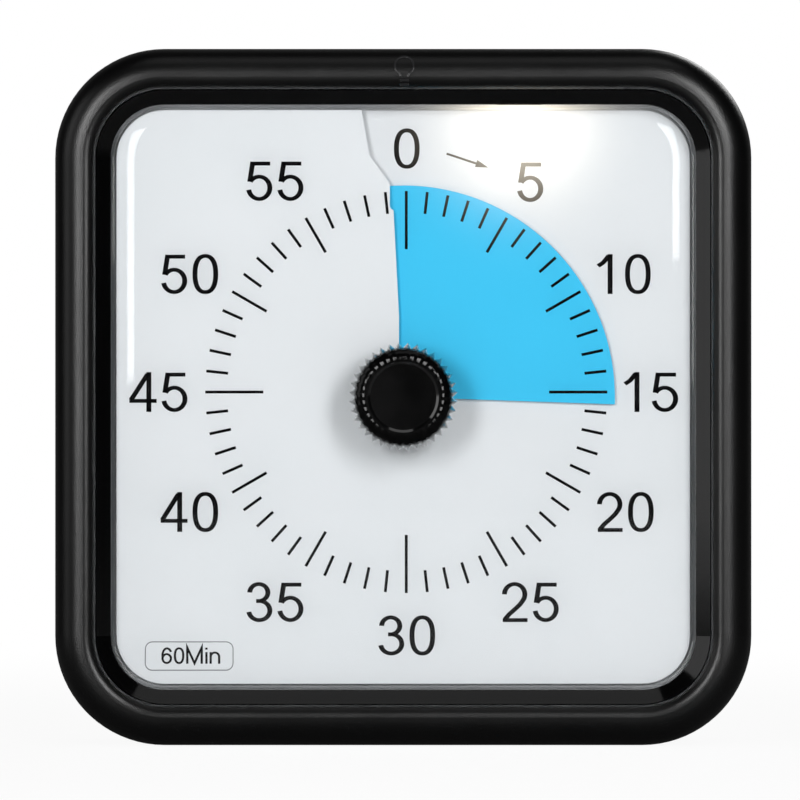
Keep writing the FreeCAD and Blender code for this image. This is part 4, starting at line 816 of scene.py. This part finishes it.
new_pieces = [
    (minute_marks, ink_black),
    (dial_numbers, ink_black),
    (start_arrow, ink_black),
    (corner_box, ink_grey),
    (box_words, ink_black),
    (light_symbol, symbol_painted_glint),
]
for piece, finish in new_pieces:
    piece.data.materials.clear()
    piece.data.materials.append(finish)
    piece.visible_shadow = piece is light_symbol
    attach(piece, "housing")
print("rides on the housing:", ", ".join(piece.name for piece, _ in new_pieces))

# %% [markdown]
# The studio. Product photographs of glossy black things are lit by tall soft boxes on both
# sides of the camera: their reflections run as bright bands along the rounded rails and as
# sparks on the knob, while everything that faces the camera stays black. Such a box is
# given by the directions that it covers, seen from the dial, and its power follows from
# how bright it should look. Weaker boxes further round give the other sides their light.

# %% Soft boxes
BOX_DISTANCE = 1.1
FRONT_BRIGHTNESS = 11.9


def add_lamp(name, place, width, height, brightness):
    """Rectangular lamp that faces the dial, with its power from how bright it looks."""
    start_clean()
    bpy.ops.object.light_add(type="AREA", location=place)
    lamp = bpy.context.active_object
    lamp.name = name
    lamp.rotation_euler = (dial_middle - Vector(place)).to_track_quat("-Z", "Y").to_euler()
    lamp.data.shape = "RECTANGLE"
    lamp.data.size = width
    lamp.data.size_y = height
    lamp.data.energy = brightness * math.pi * width * height
    lamp.visible_camera = False
    print(name, "has", round(lamp.data.energy, 1), "W")


def soft_box(name, left, right, low, high):
    """Lamp that covers a range of directions in front of the dial, in degrees."""
    edges = [BOX_DISTANCE * math.tan(math.radians(angle)) for angle in (left, right, low, high)]
    side = (edges[0] + edges[1]) / 2
    rise = (edges[2] + edges[3]) / 2
    place = dial_middle + Vector((side, -BOX_DISTANCE, rise))
    add_lamp(name, place, edges[1] - edges[0], edges[3] - edges[2], FRONT_BRIGHTNESS)


soft_box("left_box", left=-31, right=-18, low=0, high=26)
soft_box("right_box", left=18, right=31, low=2, high=32)
add_lamp("top_box", (0.1, -0.35, 1.2), width=0.8, height=0.5, brightness=0.45)
add_lamp("left_side_box", (-1.1, -0.4, 0.4), width=0.5, height=0.9, brightness=0.9)
add_lamp("back_box", (0.7, 1.3, 0.9), width=0.9, height=0.7, brightness=3.0)

# %% [markdown]
# The white background is the world as the camera sees it. Glossy and clear surfaces see it
# dimmed, and only behind the timer, where a real backdrop hangs, because the room in front
# is dark. Matt surfaces get a little fill from everywhere.

# %% World
BACKDROP_START, BACKDROP_FULL = 0.2, 0.9
FRONT_DARK = 0.01
BACKDROP = 0.1
FILL = 0.14
world = bpy.data.worlds.new("studio")
bpy.context.scene.world = world
world.use_nodes = True
world.cycles.sampling_method = "NONE"
tree = world.node_tree
path = tree.nodes.new("ShaderNodeLightPath")
place = tree.nodes.new("ShaderNodeTexCoord").outputs["Generated"]
parts = tree.nodes.new("ShaderNodeSeparateXYZ")
link(tree, place, parts.inputs[0])
backdrop = rescale(
    tree, parts.outputs["Y"], BACKDROP_START, BACKDROP_FULL, FRONT_DARK, BACKDROP, smooth=True)
shiny = calculate(tree, "MAXIMUM", path.outputs["Is Glossy Ray"], path.outputs["Is Transmission Ray"])
seen = calculate(tree, "MULTIPLY", shiny, backdrop)
filled = calculate(tree, "MULTIPLY", path.outputs["Is Diffuse Ray"], FILL)
unseen = calculate(tree, "MAXIMUM", seen, filled)
strength = calculate(tree, "MAXIMUM", path.outputs["Is Camera Ray"], unseen)
background = tree.nodes["Background"]
background.inputs["Color"].default_value = (1, 1, 1, 1)
link(tree, strength, background.inputs["Strength"])
print("world: backdrop", BACKDROP, "and fill", FILL)

# %% [markdown]
# The floor is pale and matt. For the camera it fades with the distance to the same white as the
# world, so that only the timer's shadow marks it. Mirrored in the glossy case it is painted much
# darker, a painted shade for a floor outside the light.

# %% Floor
FLOOR_SIZE = 6.0
FLOOR_MIRROR_SHADE = 0.85
FLOOR_DARKER = (0.86, 0.86, 0.86)
FLOOR_LIGHTER = (0.88, 0.88, 0.88)
FADE_START, FADE_END = 0.1, 0.6
NEAR_WHITE, FAR_WHITE = 0.93, 1.0
start_clean()
bpy.ops.mesh.primitive_plane_add(size=FLOOR_SIZE, location=(0, 0, cad_low.z))
floor = bpy.context.active_object
floor.name = "floor"
material, tree, shader = new_finish("floor_white", Roughness=0.9)
texture = use_group(tree, patch_group, Patch_size=60.0)
pale = blend_colours(tree, texture.outputs["Patch"], FLOOR_DARKER, FLOOR_LIGHTER)
path = tree.nodes.new("ShaderNodeLightPath")
# painted shade: the floor's colour goes towards black for glossy rays only
painted_mirror_shade = calculate(tree, "MULTIPLY", path.outputs["Is Glossy Ray"], FLOOR_MIRROR_SHADE)
link(tree, blend_colours(tree, painted_mirror_shade, pale, BLACK), shader.inputs["Base Color"])
place = tree.nodes.new("ShaderNodeTexCoord").outputs["Object"]
span = tree.nodes.new("ShaderNodeVectorMath")
span.operation = "LENGTH"
link(tree, place, span.inputs[0])
whiteness = rescale(
    tree, span.outputs["Value"], FADE_START, FADE_END, NEAR_WHITE, FAR_WHITE, smooth=True)
looked_at = calculate(
    tree, "MAXIMUM", path.outputs["Is Camera Ray"], path.outputs["Is Transmission Ray"])
white = tree.nodes.new("ShaderNodeEmission")
choice = tree.nodes.new("ShaderNodeMixShader")
link(tree, calculate(tree, "MULTIPLY", looked_at, whiteness), choice.inputs["Fac"])
link(tree, shader.outputs["BSDF"], choice.inputs[1])
link(tree, white.outputs["Emission"], choice.inputs[2])
link(tree, choice.outputs["Shader"], tree.nodes["Material Output"].inputs["Surface"])
floor.data.materials.append(material)
print("floor at", round(cad_low.z / MM, 1), "mm")

# %% [markdown]
# The camera stands straight in front, level with the middle of the dial, and far away
# behind a long lens, because the photograph shows the square case with no convergence. The
# picture is as wide as 800 of its pixels, and one pixel there is 0.2011 mm at the case.

# %% Camera
PICTURE_WIDTH = 800
PIXEL = 0.2011 * MM
CAMERA_DISTANCE = 1.5
SENSOR_WIDTH = 36.0
SIGHT_LIMIT = 20
SILHOUETTE_Y = -14.2 * MM
AIM = Vector((-0.66 * MM, SILHOUETTE_Y, 69.4 * MM))
camera_place = AIM - Vector((0, CAMERA_DISTANCE, 0))
bpy.ops.object.camera_add(location=camera_place, rotation=(math.radians(90), 0, 0))
camera = bpy.context.active_object
camera.data.sensor_width = SENSOR_WIDTH
camera.data.lens = SENSOR_WIDTH * CAMERA_DISTANCE / (PICTURE_WIDTH * PIXEL)
camera.data.clip_end = SIGHT_LIMIT
bpy.context.scene.camera = camera
bpy.context.scene.view_settings.view_transform = "Standard"
print("lens in mm:", round(camera.data.lens, 1))
